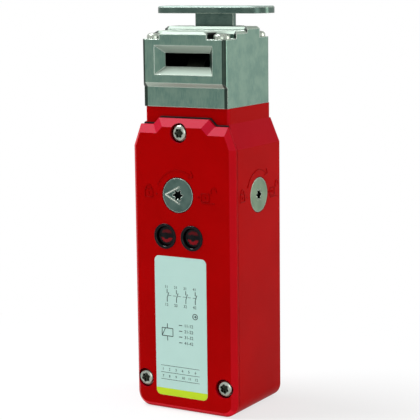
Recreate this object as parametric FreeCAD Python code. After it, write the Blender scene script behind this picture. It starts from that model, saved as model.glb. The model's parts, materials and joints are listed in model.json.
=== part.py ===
import FreeCAD
import Part
import math
import os

# Guard-locking tongue interlock switch: a painted die-cast body with a bolted cover, a steel
# actuator head with a cam wheel, and a tongue that plugs into the head from above.
# Millimetres. +X right along the cover face, -Y towards the viewer of the cover, +Z up.
# The origin is the middle of the body's footprint, on its bottom face.

# ---------------------------------------------------------------- driving dimensions
# Body and cover
body_width = 49.0
body_depth = 40.0
body_corner_radius = 6.0
side_wall = 3.0
back_wall = 3.5
bottom_wall = 8.0
shoulder_low_z = 112.5
shoulder_high_z = 122.6
neck_overhang = 0.2
neck_base_drop = 1.0
neck_top_z = 129.0
neck_setback = 0.9
neck_edge_radius = 1.5
cavity_top_z = 108.6
cavity_corner_radius = 3.0
cover_thickness = 3.3
cover_bevel = 2.0
seam_width = 0.3
seam_depth = 0.35
cover_top_bevel = 3.5
cover_shoulder_half_width = 21.0
cover_low_top_z = 121.7
cover_high_top_z = 124.5
cover_step_half_width = 14.8
cover_corner_inset_share = 1.3
cover_lip_height = 1.2
cover_lip_gap = 0.3
gasket_width = 1.4
gasket_depth = 1.0
gasket_proud = 0.6

# Screws: shank radius, head radius, head height
cover_screw_shank_radius = 2.0
cover_screw_head_radius = 3.5
cover_screw_head_height = 2.4
cover_screw_length = 9.0
cover_screw_x = 19.4
cover_screw_shift = -0.4
cover_screw_z = 12.5
cover_top_screw_z = 118.6
screw_recess_gap = 0.6
screw_recess_depth = 2.6
screw_boss_wall = 1.8
screw_boss_root = 0.5
head_screw_length = 34.0
screw_tip_gap = 1.0
drive_recess_radius = 2.0
drive_recess_waist = 0.68
drive_recess_depth = 1.4
lobe_tip_half_angle = 11.0
lobe_waist_half_angle = 14.0
head_crown_share = 0.4
shank_sides = 8
plain_head_sides = 12
snail_arcs = 4
round_sides = 16
ring_sides = 24

# What sits on the cover is a little left of the middle
cover_feature_x = -1.5
control_x = -2.2
release_z = 92.7
release_disc_radius = 7.2
release_disc_thickness = 1.9
release_disc_gap = 0.25
release_recess_radius = 2.4
release_shaft_radius = 3.0
release_shaft_gap = 0.06
release_boss_radius = 6.0
release_boss_length = 3.6
side_boss_wall = 1.0
release_pin_end_gap = 0.2
side_cam_gap = 1.0
release_throw = 2.0
release_pin_radius = 1.0
release_collar_radius = 3.9
release_collar_thickness = 2.0
release_seal_radius = 5.6
release_seal_width = 1.0
release_seal_height = 0.8
release_seal_depth = 0.65
clip_thickness = 0.8
clip_width = 1.6
clip_mouth_share = 0.8
side_release_y = 1.5
side_release_z = 91.9
side_cam_radius = 4.5
arrow_groove_width = 0.5
arrow_groove_depth = 0.25
arrow_tip_x = 6.0
arrow_length = 7.8
arrow_half_angle = 27.5

led_z = 75.0
led_spacing = 13.0
led_bezel_radius = 5.4
led_bezel_wall = 1.3
led_bezel_length = 4.8
led_lens_depth = 0.9
led_lens_thickness = 1.0
led_dome_radius = 2.5
led_stem_length = 2.7
led_nose_length = 1.8
led_nose_share = 0.5
led_board_thickness = 1.6
led_board_gap = 4.0
led_board_margin = 1.6
led_post_radius = 1.8
led_post_offset_z = 8.0

label_bottom_z = 6.2
label_top_z = 66.6
label_width = 25.2
label_corner_radius = 2.2
label_thickness = 0.4
label_recess_depth = 0.3

# Head
head_width = 40.0
head_depth = 38.0
head_shoulder_z = 157.0
head_top_z = 160.0
head_band_z = 161.6
head_band_rim = 2.4
head_edge_radius = 1.6
head_top_chamfer = 1.0
head_step_z = 139.0
head_step_depth = 1.7
head_screw_side_inset = 4.0
head_screw_front_inset = 4.4
head_screw_back_inset = 3.8
head_screw_shank_radius = 1.6
head_pocket_radius = 6.3
head_gasket_thickness = 0.6
head_gasket_inset = 1.6

# Tongue and its two ways in
tongue_travel = 29.0
blade_width = 18.4
blade_thickness = 2.5
blade_end_z = 135.2
blade_crossbar = 3.0
blade_tip_chamfer = 1.0
blade_window_width = 9.4
blade_window_height = 11.4
plate_length = 53.4
plate_rim_chamfer = 0.5
plate_depth = 15.0
plate_thickness = 3.0
plate_corner_radius = 6.0
plate_top_z = 170.0
plate_hole_radius = 2.65
plate_hole_spacing = 40.0
plate_countersink_radius = 5.0
slot_width = 21.4
slot_height = 5.6
slot_bevel = 3.2
slot_bevel_depth = 3.7
top_slot_bevel = 1.3
top_slot_bevel_depth = 1.6

# Cam wheel, its pin and the drive rod
mechanism_y = 1.0
cam_z = 140.4
cam_offset = 8.0
cam_radius = 10.5
cam_half_width = 4.1
cam_notch_half_width = 2.8
cam_notch_bottom = 5.6
cam_notch_chamfer = 1.0
cam_washer_gap = 0.2
cam_rest_angle = -25.0
cam_pitch_radius = 8.9
cheek_half_width = 8.0
cheek_low_radius = 3.2
rod_travel = 3.0
cam_pin_radius = 2.0
cam_pin_gap = 0.06
cam_pin_seat = 2.0
cam_room = 0.7
rod_radius = 3.0
rod_gap = 0.06
rod_bottom_z = 54.0
fork_gap = 0.35
fork_depth = 8.0
fork_base_thickness = 4.0
bush_wall = 1.6
bush_flange = 1.5
bush_bottom_z = 107.0
collar_radius = 5.0
collar_thickness = 2.4
lock_collar_z = 99.2
spring_collar_z = 84.0
drive_spring_radius = 4.6
spring_wire = 1.0
spring_steps_per_turn = 12
drive_spring_turns = 6
spring_shelf_z = 60.0
shelf_thickness = 2.0

# Lock slide, solenoid and armature
lock_travel = 4.0
slide_thickness = 2.5
slide_bottom_z = 93.2
slide_half_depth = 5.0
slide_gap = 0.5
yoke_gap = 0.6
yoke_thickness = 2.5
yoke_side_wall = 2.5
yoke_low_wall = 2.0
slide_end_wall = 3.0
link_leg_side_wall = 2.4
link_leg_low_wall = 1.0
solenoid_x = -13.0
solenoid_bottom_z = 33.0
solenoid_top_z = 66.0
solenoid_half_width = 8.0
solenoid_plate = 1.6
bobbin_flange = 1.4
bobbin_flange_gap = 0.3
coil_gap = 0.8
bobbin_wall = 1.0
armature_radius = 4.0
armature_gap = 0.08
armature_stop_gap = 0.4
pole_height = 6.0
lock_spring_radius = 6.0
lock_spring_turns = 3
lock_spring_room = 4.0
clevis_half_width = 4.0
clevis_height = 12.0
clevis_flange = 1.0
link_pin_share = 0.72
clevis_slot_gap = 0.4
link_pin_radius = 1.2
link_leg_thickness = 2.0

# Contact block
block_left_x = 4.5
block_right_x = 20.2
block_front_y = -9.0
block_bottom_z = 26.0
block_top_z = 47.0
block_floor = 2.0
carrier_width = 4.0
carrier_depth = 5.0
carrier_gap = 0.5
carrier_arm_height = 3.0
carrier_arm_wall = 1.0
bridge_thickness = 0.6
bridge_reach = 3.6
bridge_pitch = 9.0
bridge_low_gap = 2.5
button_inset = 1.0
terminal_screw_radius = 1.5
terminal_head_radius = 2.3
terminal_head_height = 1.4
terminal_screw_length = 5.0
terminal_strip_thickness = 1.0
terminal_strip_width = 3.6
terminal_drop = 1.5

# Chassis, wiring and fixing
chassis_thickness = 3.4
chassis_side_gap = 0.9
shelf_rim = 1.0
shelf_gap = 0.5
rail_gap = 2.0
rail_width = 3.0
rail_height = 2.0
chassis_bottom_z = 26.0
chassis_top_z = 98.0
chassis_screw_radius = 1.5
chassis_screw_head_radius = 2.4
chassis_screw_head_height = 1.6
chassis_screw_length = 5.5
chassis_screw_inset = 2.8
chassis_low_screw_z = 40.0
mount_hole_radius = 2.75
mount_spacing_x = 32.0
mount_low_z = 20.0
mount_high_z = 104.0
conduit_radius = 9.25
conduit_y = 1.0
wiring_block_height = 7.0
wiring_block_inset = 3.0

# ---------------------------------------------------------------- worked-out places
front_y = -body_depth / 2
back_y = body_depth / 2
joint_y = front_y + cover_thickness
inner_back_y = back_y - back_wall
half_width = body_width / 2
inner_half_width = half_width - side_wall
neck_half_width = head_width / 2 + neck_overhang
head_screw_x = head_width / 2 - head_screw_side_inset
chassis_half_width = inner_half_width - chassis_side_gap
neck_front_y = joint_y + neck_setback
head_front_y = back_y - head_depth
head_screw_front_y = head_front_y + head_screw_front_inset
head_screw_back_y = back_y - head_screw_back_inset
blade_y = mechanism_y + cam_offset
front_slot_z = cam_z + cam_offset
head_cavity_top_z = front_slot_z + slot_height / 2
head_cavity_front_y = mechanism_y - cam_radius - cam_room
head_cavity_back_y = blade_y + slot_height / 2 + cam_room
cam_sweep = tongue_travel / cam_pitch_radius
chassis_front_y = inner_back_y - chassis_thickness
lock_top_z = slide_bottom_z + slide_thickness
armature_top_z = solenoid_top_z + lock_spring_turns * spring_wire + lock_travel + lock_spring_room
clevis_top_z = armature_top_z + clevis_height
link_pin_z = armature_top_z + clevis_height * link_pin_share
carrier_x = (block_left_x + block_right_x) / 2
V = FreeCAD.Vector
AXES = {"x": V(1, 0, 0), "y": V(0, 1, 0), "z": V(0, 0, 1)}


# ---------------------------------------------------------------- shape helpers
def box(x0, x1, y0, y1, z0, z1):
    """Block between two corners."""
    return Part.makeBox(x1 - x0, y1 - y0, z1 - z0, V(x0, y0, z0))


def rod(radius, start, length, axis="z"):
    """Cylinder from a start point along one axis."""
    return Part.makeCylinder(radius, length, V(*start), AXES[axis])


def ring(outer, inner, start, length, axis="z"):
    """Tube from a start point along one axis."""
    return rod(outer, start, length, axis).cut(rod(inner, start, length, axis))


def many_sided(sides, radius, centre, axis):
    """Wire of a regular polygon across an axis, with its corners on the radius."""
    index = "xyz".index(axis)
    first, second = [i for i in range(3) if i != index]
    points = []
    for side in range(sides):
        angle = 2 * math.pi * (side + 0.5) / sides
        point = list(centre)
        point[first] += radius * math.cos(angle)
        point[second] += radius * math.sin(angle)
        points.append(point)
    return polygon(points)


def bar(sides, radius, start, length, axis="z"):
    """Many-sided bar along one axis: small shanks, their holes and other hidden rounds."""
    return Part.Face(many_sided(sides, radius, start, axis)).extrude(AXES[axis] * length)


def hollow_bar(outer, inner, start, length, axis="z"):
    """Many-sided ring along one axis, for rings that stay still or are out of sight."""
    return bar(ring_sides, outer, start, length, axis).cut(
        bar(ring_sides, inner, start, length, axis))


def taper(sides, start_radius, end_radius, start, length, axis="z"):
    """Many-sided cone along one axis; a negative length runs the other way."""
    end = list(start)
    end["xyz".index(axis)] += length
    return Part.makeLoft([many_sided(sides, start_radius, start, axis),
                          many_sided(sides, end_radius, end, axis)], True, True)


def fuse(shapes):
    """One solid from several that touch."""
    first, *others = shapes
    return first.multiFuse(others).removeSplitter() if others else first


def polygon(points):
    """Closed wire through 3-D points."""
    return Part.makePolygon([V(*p) for p in points] + [V(*points[0])])


def prism_y(points, y0, y1):
    """Polygon of (x, z) points, extruded from y0 to y1."""
    wire = polygon([(x, y0, z) for x, z in points])
    return Part.Face(wire).extrude(V(0, y1 - y0, 0))


def prism_x(points, x0, x1):
    """Polygon of (y, z) points, extruded from x0 to x1."""
    wire = polygon([(x0, y, z) for y, z in points])
    return Part.Face(wire).extrude(V(x1 - x0, 0, 0))


def rectangle(centre, size_u, size_v, normal):
    """Rectangular wire around a centre; normal is "y" (u = x, v = z) or "z" (u = x, v = y)."""
    corners = [(-1, -1), (1, -1), (1, 1), (-1, 1)]
    points = []
    for side_u, side_v in corners:
        du = side_u * size_u / 2
        dv = side_v * size_v / 2
        step = (du, 0, dv) if normal == "y" else (du, dv, 0)
        points.append(tuple(c + s for c, s in zip(centre, step)))
    return polygon(points)


def funnel(centre_out, centre_in, bevel, normal):
    """Cutter for a slot's bevelled mouth, wide at centre_out."""
    mouth = rectangle(centre_out, slot_width + 2 * bevel, slot_height + 2 * bevel, normal)
    throat = rectangle(centre_in, slot_width, slot_height, normal)
    return Part.makeLoft([mouth, throat], True, True)


def outline(y, half, bottom, radius, right_side):
    """Wire in the XZ plane: round bottom corners, then the right side's points and their mirror."""
    left_side = [(-x, z) for x, z in reversed(right_side)]
    bend = radius * (1 - math.sqrt(0.5))
    path = [(half, bottom + radius)] + right_side + left_side + [(-half, bottom + radius)]
    edges = [Part.LineSegment(V(x0, y, z0), V(x1, y, z1)).toShape()
             for (x0, z0), (x1, z1) in zip(path, path[1:])]
    left_start = V(-half, y, bottom + radius)
    left_end = V(-half + radius, y, bottom)
    right_start = V(half - radius, y, bottom)
    right_end = V(half, y, bottom + radius)
    edges.append(Part.Arc(left_start, V(-half + bend, y, bottom + bend), left_end).toShape())
    edges.append(Part.LineSegment(left_end, right_start).toShape())
    edges.append(Part.Arc(right_start, V(half - bend, y, bottom + bend), right_end).toShape())
    return Part.Wire(edges)


def plate_y(wire, thickness):
    """Solid of an XZ outline, thickness towards +Y."""
    return Part.Face(wire).extrude(V(0, thickness, 0))


def edges_where(shape, test):
    """Edges whose middle point passes a test."""
    return [e for e in shape.Edges if test(e, e.CenterOfMass)]


def upright(edge):
    """Whether an edge runs along Z."""
    first, last = edge.Vertexes[0].Point, edge.Vertexes[-1].Point
    return abs(last.z - first.z) > 1.0 and math.hypot(last.x - first.x, last.y - first.y) < 1e-6


def torx_recess(centre, axis, sign, radius=drive_recess_radius):
    """Six-lobed driver pocket that opens at centre; sign is the way the screw head faces."""
    index = "xyz".index(axis)
    first, second = [i for i in range(3) if i != index]
    half_tip = math.radians(lobe_tip_half_angle)
    half_waist = math.radians(lobe_waist_half_angle)
    points = []
    for lobe in range(6):
        tip = lobe * math.pi / 3
        waist = tip + math.pi / 6
        for angle, share in ((tip - half_tip, 1), (tip + half_tip, 1),
                             (waist - half_waist, drive_recess_waist),
                             (waist + half_waist, drive_recess_waist)):
            point = list(centre)
            point[first] += radius * share * math.cos(angle)
            point[second] += radius * share * math.sin(angle)
            points.append(point)
    return Part.Face(polygon(points)).extrude(AXES[axis] * (-sign * drive_recess_depth))


def pan_screw(under_head, axis, sign, shank, head, head_height, length):
    """Pan-head screw: under_head is the centre of the head's bearing face, sign its way out."""
    crown = head_height * head_crown_share
    screw = fuse([bar(ring_sides, head, (0, 0, 0), head_height - crown),
                  taper(ring_sides, head, head - crown, (0, 0, head_height - crown), crown),
                  bar(shank_sides, shank, (0, 0, -length), length)])
    screw = screw.cut(torx_recess((0, 0, head_height), "z", 1))
    return aim(screw, under_head, axis, sign)


def plain_screw(under_head, axis, sign, shank, head, head_height, length):
    """Small hidden screw: a many-sided head on a many-sided shank."""
    screw = fuse([bar(plain_head_sides, head, (0, 0, 0), head_height),
                  bar(shank_sides, shank, (0, 0, -length), length)])
    return aim(screw, under_head, axis, sign)


def aim(screw, place, axis, sign):
    """Turn a screw modelled head-up along Z so that its head faces sign * axis, and place it."""
    turn = FreeCAD.Rotation(V(0, 0, 1), AXES[axis] * sign)
    return screw.transformed(FreeCAD.Placement(V(*place), turn).toMatrix())


def screw_hole(under_head, axis, sign, shank, length):
    """Hole that a screw's shank fills."""
    return aim(bar(shank_sides, shank, (0, 0, -length), length), under_head, axis, sign)


def coil_spring(centre, radius, low_z, high_z, turns):
    """Square-wire compression spring that stands on low_z and ends at high_z."""
    steps = turns * spring_steps_per_turn
    rise = (high_z - low_z - spring_wire) / steps
    rings = []
    for step in range(steps + 1):
        angle = 2 * math.pi * step / spring_steps_per_turn
        z = low_z + rise * step
        corner = [(radius - spring_wire, z), (radius, z), (radius, z + spring_wire),
                  (radius - spring_wire, z + spring_wire)]
        rings.append([V(centre[0] + r * math.cos(angle), centre[1] + r * math.sin(angle), h)
                      for r, h in corner])
    faces = [Part.Face(Part.makePolygon(ends + ends[:1])) for ends in (rings[0], rings[-1])]
    for near, far in zip(rings, rings[1:]):
        for k in range(4):
            a, b, c, d = near[k], near[(k + 1) % 4], far[(k + 1) % 4], far[k]
            for corners in ([a, b, c, a], [a, c, d, a]):
                faces.append(Part.Face(Part.makePolygon(corners)))
    return Part.Solid(Part.Shell(faces))


def save(node, shape):
    """Write one node."""
    shape.exportStep("parts/" + node + ".step")


# ---------------------------------------------------------------- outlines of the body
def housing_side():
    """Right side of the housing's outline, from the lower to the upper shoulder."""
    return [(half_width, shoulder_low_z), (neck_half_width, shoulder_high_z)]


def cover_side(inset, top_inset):
    """Right side of the cover's stepped top, drawn in by the bevel's width and height."""
    slope = (half_width - cover_shoulder_half_width) / (cover_low_top_z - shoulder_low_z)
    low_z = cover_low_top_z - top_inset
    high_z = cover_high_top_z - top_inset
    half = half_width - inset
    shoulder = half - slope * (low_z - shoulder_low_z)
    step = cover_high_top_z - cover_low_top_z
    corner = cover_step_half_width - inset * cover_corner_inset_share
    return [(half, shoulder_low_z), (shoulder, low_z), (corner, low_z), (corner - step, high_z)]


def cavity_wire(y, grow):
    """Outline of the housing's cavity, grown outwards by an amount."""
    half = inner_half_width + grow
    top = cavity_top_z + grow
    side = [(half, top)]
    return outline(y, half, bottom_wall - grow, cavity_corner_radius + max(grow, 0), side)


def cover_screw_places():
    """Middle of each cover screw as (x, z)."""
    low = [(side * cover_screw_x + cover_screw_shift, cover_screw_z) for side in (-1, 1)]
    return low + [(cover_feature_x, cover_top_screw_z)]


def head_screw_places():
    """Middle of each head screw as (x, y)."""
    return [(side * head_screw_x, y) for side in (-1, 1)
            for y in (head_screw_front_y, head_screw_back_y)]


def led_places():
    """Middle of each indicator as x."""
    return [control_x + side * led_spacing / 2 for side in (-1, 1)]


def mount_places():
    """Middle of each fixing hole as (x, z)."""
    return [(side * mount_spacing_x / 2, z) for side in (-1, 1) for z in (mount_low_z, mount_high_z)]


# ---------------------------------------------------------------- housing and cover
def make_housing():
    """Die-cast body: open towards the cover, with the neck that carries the head."""
    wire = outline(joint_y, half_width, 0, body_corner_radius, housing_side())
    body = plate_y(wire, back_y - joint_y)
    neck = box(-neck_half_width, neck_half_width, neck_front_y, back_y, shoulder_high_z, neck_top_z)
    neck = neck.makeFillet(neck_edge_radius, edges_where(neck, lambda e, c: upright(e)))
    body = body.fuse(neck)
    seam = outline(joint_y, half_width - seam_depth, seam_depth, body_corner_radius - seam_depth,
                   [(x - seam_depth, z) for x, z in housing_side()])
    band = plate_y(wire, seam_width).cut(plate_y(seam, seam_width))
    body = body.cut(band.common(box(-half_width, half_width, joint_y, joint_y + seam_width,
                                    0, cover_low_top_z)))
    body = body.cut(box(-half_width, half_width, joint_y, neck_front_y, neck_base_z(), neck_top_z))
    body = body.cut(plate_y(cavity_wire(joint_y, 0), inner_back_y - joint_y))
    boss_radius = cover_screw_shank_radius + screw_boss_wall
    for x, z in cover_screw_places()[:2]:
        boss = rod(boss_radius, (x, joint_y, z), inner_back_y - joint_y, "y")
        room = plate_y(cavity_wire(joint_y, screw_boss_root), inner_back_y - joint_y)
        body = body.fuse(boss.common(room))
    side_boss = rod(release_boss_radius + side_boss_wall,
                    (inner_half_width - release_boss_length + side_wall, side_release_y, side_release_z),
                    release_boss_length - side_wall + side_boss_wall, "x")
    body = body.fuse(side_boss)
    cuts = []
    for x, z in cover_screw_places():
        cuts.append(screw_hole((x, joint_y, z), "y", -1, cover_screw_shank_radius,
                               cover_screw_length))
    for x, z in mount_places():
        cuts.append(rod(mount_hole_radius, (x, inner_back_y, z), back_wall, "y"))
    for x, z in chassis_screw_places():
        cuts.append(screw_hole((x, inner_back_y, z), "y", -1, chassis_screw_radius,
                               chassis_screw_length - chassis_thickness))
    groove = plate_y(cavity_wire(joint_y, gasket_width), gasket_depth)
    groove = groove.cut(plate_y(cavity_wire(joint_y, 0), gasket_depth))
    cuts.append(groove)
    cuts.append(rod(conduit_radius, (0, conduit_y, 0), bottom_wall, "z"))
    cuts.append(rod(rod_radius + rod_gap + bush_wall, (0, mechanism_y, cavity_top_z),
                    neck_top_z - cavity_top_z, "z"))
    cuts.append(neck_pocket())
    cuts.append(gasket_plate(neck_top_z - head_gasket_thickness))
    for x, y in head_screw_places():
        depth = head_screw_length - (head_shoulder_z - neck_top_z)
        cuts.append(screw_hole((x, y, neck_top_z), "z", 1, head_screw_shank_radius, depth))
    cuts += side_release_holes()
    body = body.cut(Part.makeCompound(cuts))
    return body


def neck_pocket():
    """Room in the neck for the fork of the drive rod to go down into."""
    half_x = cheek_half_width + cam_room
    half_y = fork_depth / 2 + cam_room
    return box(-half_x, half_x, mechanism_y - half_y, mechanism_y + half_y,
               fork_base_bottom() - rod_travel - cam_room, neck_top_z)


def fork_base_bottom():
    """Underside of the drive rod's fork at rest."""
    return cam_z - cam_radius - cam_room - fork_base_thickness


def side_release_holes():
    """Counterbore and bore for the side release."""
    disc = rod(release_disc_radius + release_disc_gap,
               (half_width - release_disc_thickness - release_disc_gap, side_release_y, side_release_z),
               release_disc_thickness + release_disc_gap, "x")
    bore = rod(release_shaft_radius + release_shaft_gap,
               (half_width - release_boss_length - side_wall, side_release_y, side_release_z),
               release_boss_length + side_wall, "x")
    return [disc, bore]


def make_cover():
    """Bolted front cover with a bevelled rim and a stepped top."""
    outer_y = front_y + cover_bevel
    outer_side = cover_side(0, 0)
    inner_side = cover_side(cover_bevel, cover_top_bevel)
    outer = outline(outer_y, half_width, 0, body_corner_radius, outer_side)
    inner = outline(front_y, half_width - cover_bevel, cover_bevel,
                    body_corner_radius - cover_bevel, inner_side)
    plate = plate_y(outer, joint_y - outer_y).fuse(Part.makeLoft([inner, outer], True, True))
    lip = plate_y(cavity_wire(joint_y, -cover_lip_gap), cover_lip_height)
    lip = lip.cut(plate_y(cavity_wire(joint_y, -cover_lip_gap - gasket_width), cover_lip_height))
    corner_room = cover_screw_shank_radius + screw_boss_wall + cover_lip_gap
    for x, z in cover_screw_places()[:2]:
        lip = lip.cut(rod(corner_room, (x, joint_y, z), cover_lip_height, "y"))
    boss = rod(release_boss_radius, (control_x, joint_y, release_z), release_boss_length, "y")
    posts = [bar(shank_sides, led_post_radius, (control_x, joint_y, led_z + side * led_post_offset_z),
                 led_board_front() - joint_y, "y") for side in (-1, 1)]
    plate = plate.multiFuse([lip, boss] + posts)
    cuts = []
    recess_radius = cover_screw_head_radius + screw_recess_gap
    for x, z in cover_screw_places():
        cuts.append(rod(recess_radius, (x, front_y, z), screw_recess_depth, "y"))
        cuts.append(screw_hole((x, front_y, z), "y", -1, cover_screw_shank_radius, cover_thickness))
    cuts.append(rod(release_disc_radius + release_disc_gap, (control_x, front_y, release_z),
                    release_disc_thickness + release_disc_gap, "y"))
    cuts.append(rod(release_shaft_radius + release_shaft_gap, (control_x, front_y, release_z),
                    cover_thickness + release_boss_length, "y"))
    for x in led_places():
        cuts.append(rod(led_bezel_radius, (x, front_y, led_z), cover_thickness, "y"))
    cuts.append(label_plate(front_y, label_recess_depth))
    return plate.cut(Part.makeCompound(cuts)).removeSplitter()


def label_plate(y, thickness):
    """Rounded rating plate with its face at y."""
    left = cover_feature_x - label_width / 2
    plate = box(left, left + label_width, y, y + thickness, label_bottom_z, label_top_z)
    corners = [e for e in plate.Edges if abs(e.Vertexes[0].Y - e.Vertexes[-1].Y) > thickness / 2]
    return plate.makeFillet(label_corner_radius, corners)


def neck_base_z():
    """Height at which the neck's front steps back behind the cover."""
    return cover_low_top_z - neck_base_drop


def make_cover_gasket():
    """Rubber cord around the cavity, and the strip between the cover's stepped top and the neck."""
    cord = plate_y(cavity_wire(joint_y, gasket_width), gasket_depth)
    cord = cord.cut(plate_y(cavity_wire(joint_y, 0), gasket_depth))
    for x, z in cover_screw_places()[:2]:
        cord = cord.cut(screw_hole((x, joint_y, z), "y", -1, cover_screw_shank_radius, gasket_depth))
    low, high = cover_low_top_z + gasket_proud, cover_high_top_z + gasket_proud
    step = high - low
    right = [(neck_half_width, neck_base_z()), (neck_half_width, low), (cover_step_half_width, low),
             (cover_step_half_width - step, high)]
    strip = prism_y(right + [(-x, z) for x, z in reversed(right)], joint_y, neck_front_y)
    return Part.makeCompound([cord, strip])


def make_cover_screws():
    """Three pan-head screws in the cover's recesses."""
    seat_y = front_y + screw_recess_depth
    length = cover_screw_length + cover_thickness - screw_recess_depth - screw_tip_gap
    return Part.makeCompound([
        pan_screw((x, seat_y, z), "y", -1, cover_screw_shank_radius, cover_screw_head_radius,
                  cover_screw_head_height, length) for x, z in cover_screw_places()])


# ---------------------------------------------------------------- head
def gasket_plate(z):
    """Flat gasket between neck and head, from z upwards."""
    half = head_width / 2 - head_gasket_inset
    sheet = box(-half, half, neck_front_y + head_gasket_inset, back_y - head_gasket_inset,
                z, z + head_gasket_thickness)
    return sheet


def make_head_gasket():
    """Gasket with its opening for the mechanism and its four screw holes."""
    low_z = neck_top_z - head_gasket_thickness
    sheet = gasket_plate(low_z)
    sheet = sheet.cut(box(-slot_width / 2, slot_width / 2, head_cavity_front_y, head_cavity_back_y,
                          low_z, neck_top_z))
    for x, y in head_screw_places():
        sheet = sheet.cut(screw_hole((x, y, neck_top_z), "z", 1, head_screw_shank_radius,
                                     head_gasket_thickness))
    return sheet


def head_pocket(x, y):
    """Cutter for one screw's pocket, round and open towards the head's corner."""
    half = head_width / 2
    height = head_band_z - head_shoulder_z
    out_x = math.copysign(half, x)
    out_y = head_front_y if y < mechanism_y else back_y
    corner = box(min(x, out_x), max(x, out_x), min(y, out_y), max(y, out_y),
                 head_shoulder_z, head_shoulder_z + height)
    return rod(head_pocket_radius, (x, y, head_shoulder_z), height).fuse(corner)


def head_top_block():
    """Raised top of the head, hollowed at the four screws."""
    half = head_width / 2
    block = box(-half, half, head_front_y, back_y, head_shoulder_z, head_top_z)
    for x, y in head_screw_places():
        block = block.cut(head_pocket(x, y))
    return block


def head_band():
    """Raised band across the head, around the top slot."""
    half = head_width / 2
    reach = slot_height / 2 + slot_bevel + head_band_rim
    band = box(-half, half, blade_y - reach, blade_y + reach, head_shoulder_z, head_band_z)
    top_edges = edges_where(band, lambda e, c: abs(c.z - head_band_z) < 1e-6)
    band = band.makeChamfer(head_top_chamfer, top_edges)
    for x, y in head_screw_places():
        if y > mechanism_y:
            band = band.cut(head_pocket(x, y))
    return band


def make_head():
    """Steel actuator head with a slot on top and one in front."""
    half = head_width / 2
    casting = box(-half, half, head_front_y, back_y, neck_top_z, head_shoulder_z)
    casting = casting.makeFillet(head_edge_radius, edges_where(casting, lambda e, c: upright(e)))
    top = head_top_block()
    top_edges = edges_where(top, lambda e, c: abs(c.z - head_top_z) < 1e-6)
    casting = casting.fuse(top.makeChamfer(head_top_chamfer, top_edges))
    step_y = head_front_y + head_step_depth
    step = [(head_front_y, neck_top_z), (step_y, neck_top_z), (step_y, head_step_z - head_step_depth),
            (head_front_y, head_step_z)]
    casting = casting.cut(prism_x(step, -half, half))
    casting = casting.fuse(head_band())
    cuts = [box(-slot_width / 2, slot_width / 2, head_cavity_front_y, head_cavity_back_y,
                neck_top_z, head_cavity_top_z)]
    throat_z = head_band_z - top_slot_bevel_depth
    cuts.append(funnel((0, blade_y, head_band_z), (0, blade_y, throat_z), top_slot_bevel, "z"))
    cuts.append(box(-slot_width / 2, slot_width / 2, blade_y - slot_height / 2,
                    blade_y + slot_height / 2, head_cavity_top_z, throat_z))
    cuts.append(funnel((0, head_front_y, front_slot_z),
                       (0, head_front_y + slot_bevel_depth, front_slot_z), slot_bevel, "y"))
    cuts.append(box(-slot_width / 2, slot_width / 2, head_front_y + slot_bevel_depth,
                    head_cavity_front_y, front_slot_z - slot_height / 2,
                    front_slot_z + slot_height / 2))
    for x, y in head_screw_places():
        cuts.append(screw_hole((x, y, head_shoulder_z), "z", 1, head_screw_shank_radius,
                               head_shoulder_z - neck_top_z))
    seat = slot_width / 2 + cam_pin_seat
    cuts.append(rod(cam_pin_radius, (-seat, mechanism_y, cam_z), 2 * seat, "x"))
    cuts.append(box(-seat, seat, mechanism_y - cam_pin_radius, mechanism_y + cam_pin_radius,
                    neck_top_z, cam_z))
    return casting.cut(Part.makeCompound(cuts)).removeSplitter()


def make_head_screws():
    """Four pan-head screws that hold the head on the neck."""
    return Part.makeCompound([
        pan_screw((x, y, head_shoulder_z), "z", 1, head_screw_shank_radius,
                  cover_screw_head_radius, cover_screw_head_height,
                  head_screw_length - screw_tip_gap)
        for x, y in head_screw_places()])


# ---------------------------------------------------------------- cam wheel and tongue
def make_cam_pin():
    """Pin that the cam wheel turns on."""
    seat = slot_width / 2 + cam_pin_seat
    return rod(cam_pin_radius, (-seat, mechanism_y, cam_z), 2 * seat, "x")


def make_cam_pin_keepers():
    """Blocks that stand on the neck and hold the pin up in its saddles."""
    blocks = []
    for side in (-1, 1):
        near = side * slot_width / 2
        far = side * (slot_width / 2 + cam_pin_seat)
        blocks.append(box(min(near, far), max(near, far), mechanism_y - cam_pin_radius,
                          mechanism_y + cam_pin_radius, neck_top_z, cam_z - cam_pin_radius))
    return Part.makeCompound(blocks)


def snail_radius(turn):
    """Cheek radius met by the fork after the wheel has turned by an angle (radians)."""
    return cheek_low_radius + rod_travel * turn / cam_sweep


def snail_face(x):
    """Face of a cheek at x: a rising spiral, a fast fall, and a low arc."""
    points = []
    for step in range(2 * snail_arcs + 1):
        turn = cam_sweep * step / (2 * snail_arcs)
        angle = -math.pi / 2 - turn
        radius = snail_radius(turn)
        points.append(V(x, radius * math.cos(angle), radius * math.sin(angle)))
    spiral = [Part.Arc(*points[step:step + 3]).toShape() for step in range(0, 2 * snail_arcs, 2)]
    low_angle = -math.pi / 4
    low_start = V(x, cheek_low_radius * math.cos(low_angle), cheek_low_radius * math.sin(low_angle))
    low_middle_angle = (low_angle - math.pi / 2) / 2
    low_middle = V(x, cheek_low_radius * math.cos(low_middle_angle),
                   cheek_low_radius * math.sin(low_middle_angle))
    arc = Part.Arc(low_start, low_middle, points[0])
    fall = Part.LineSegment(points[-1], low_start)
    wire = Part.Wire(spiral + [fall.toShape(), arc.toShape()])
    return Part.Face(wire)


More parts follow.
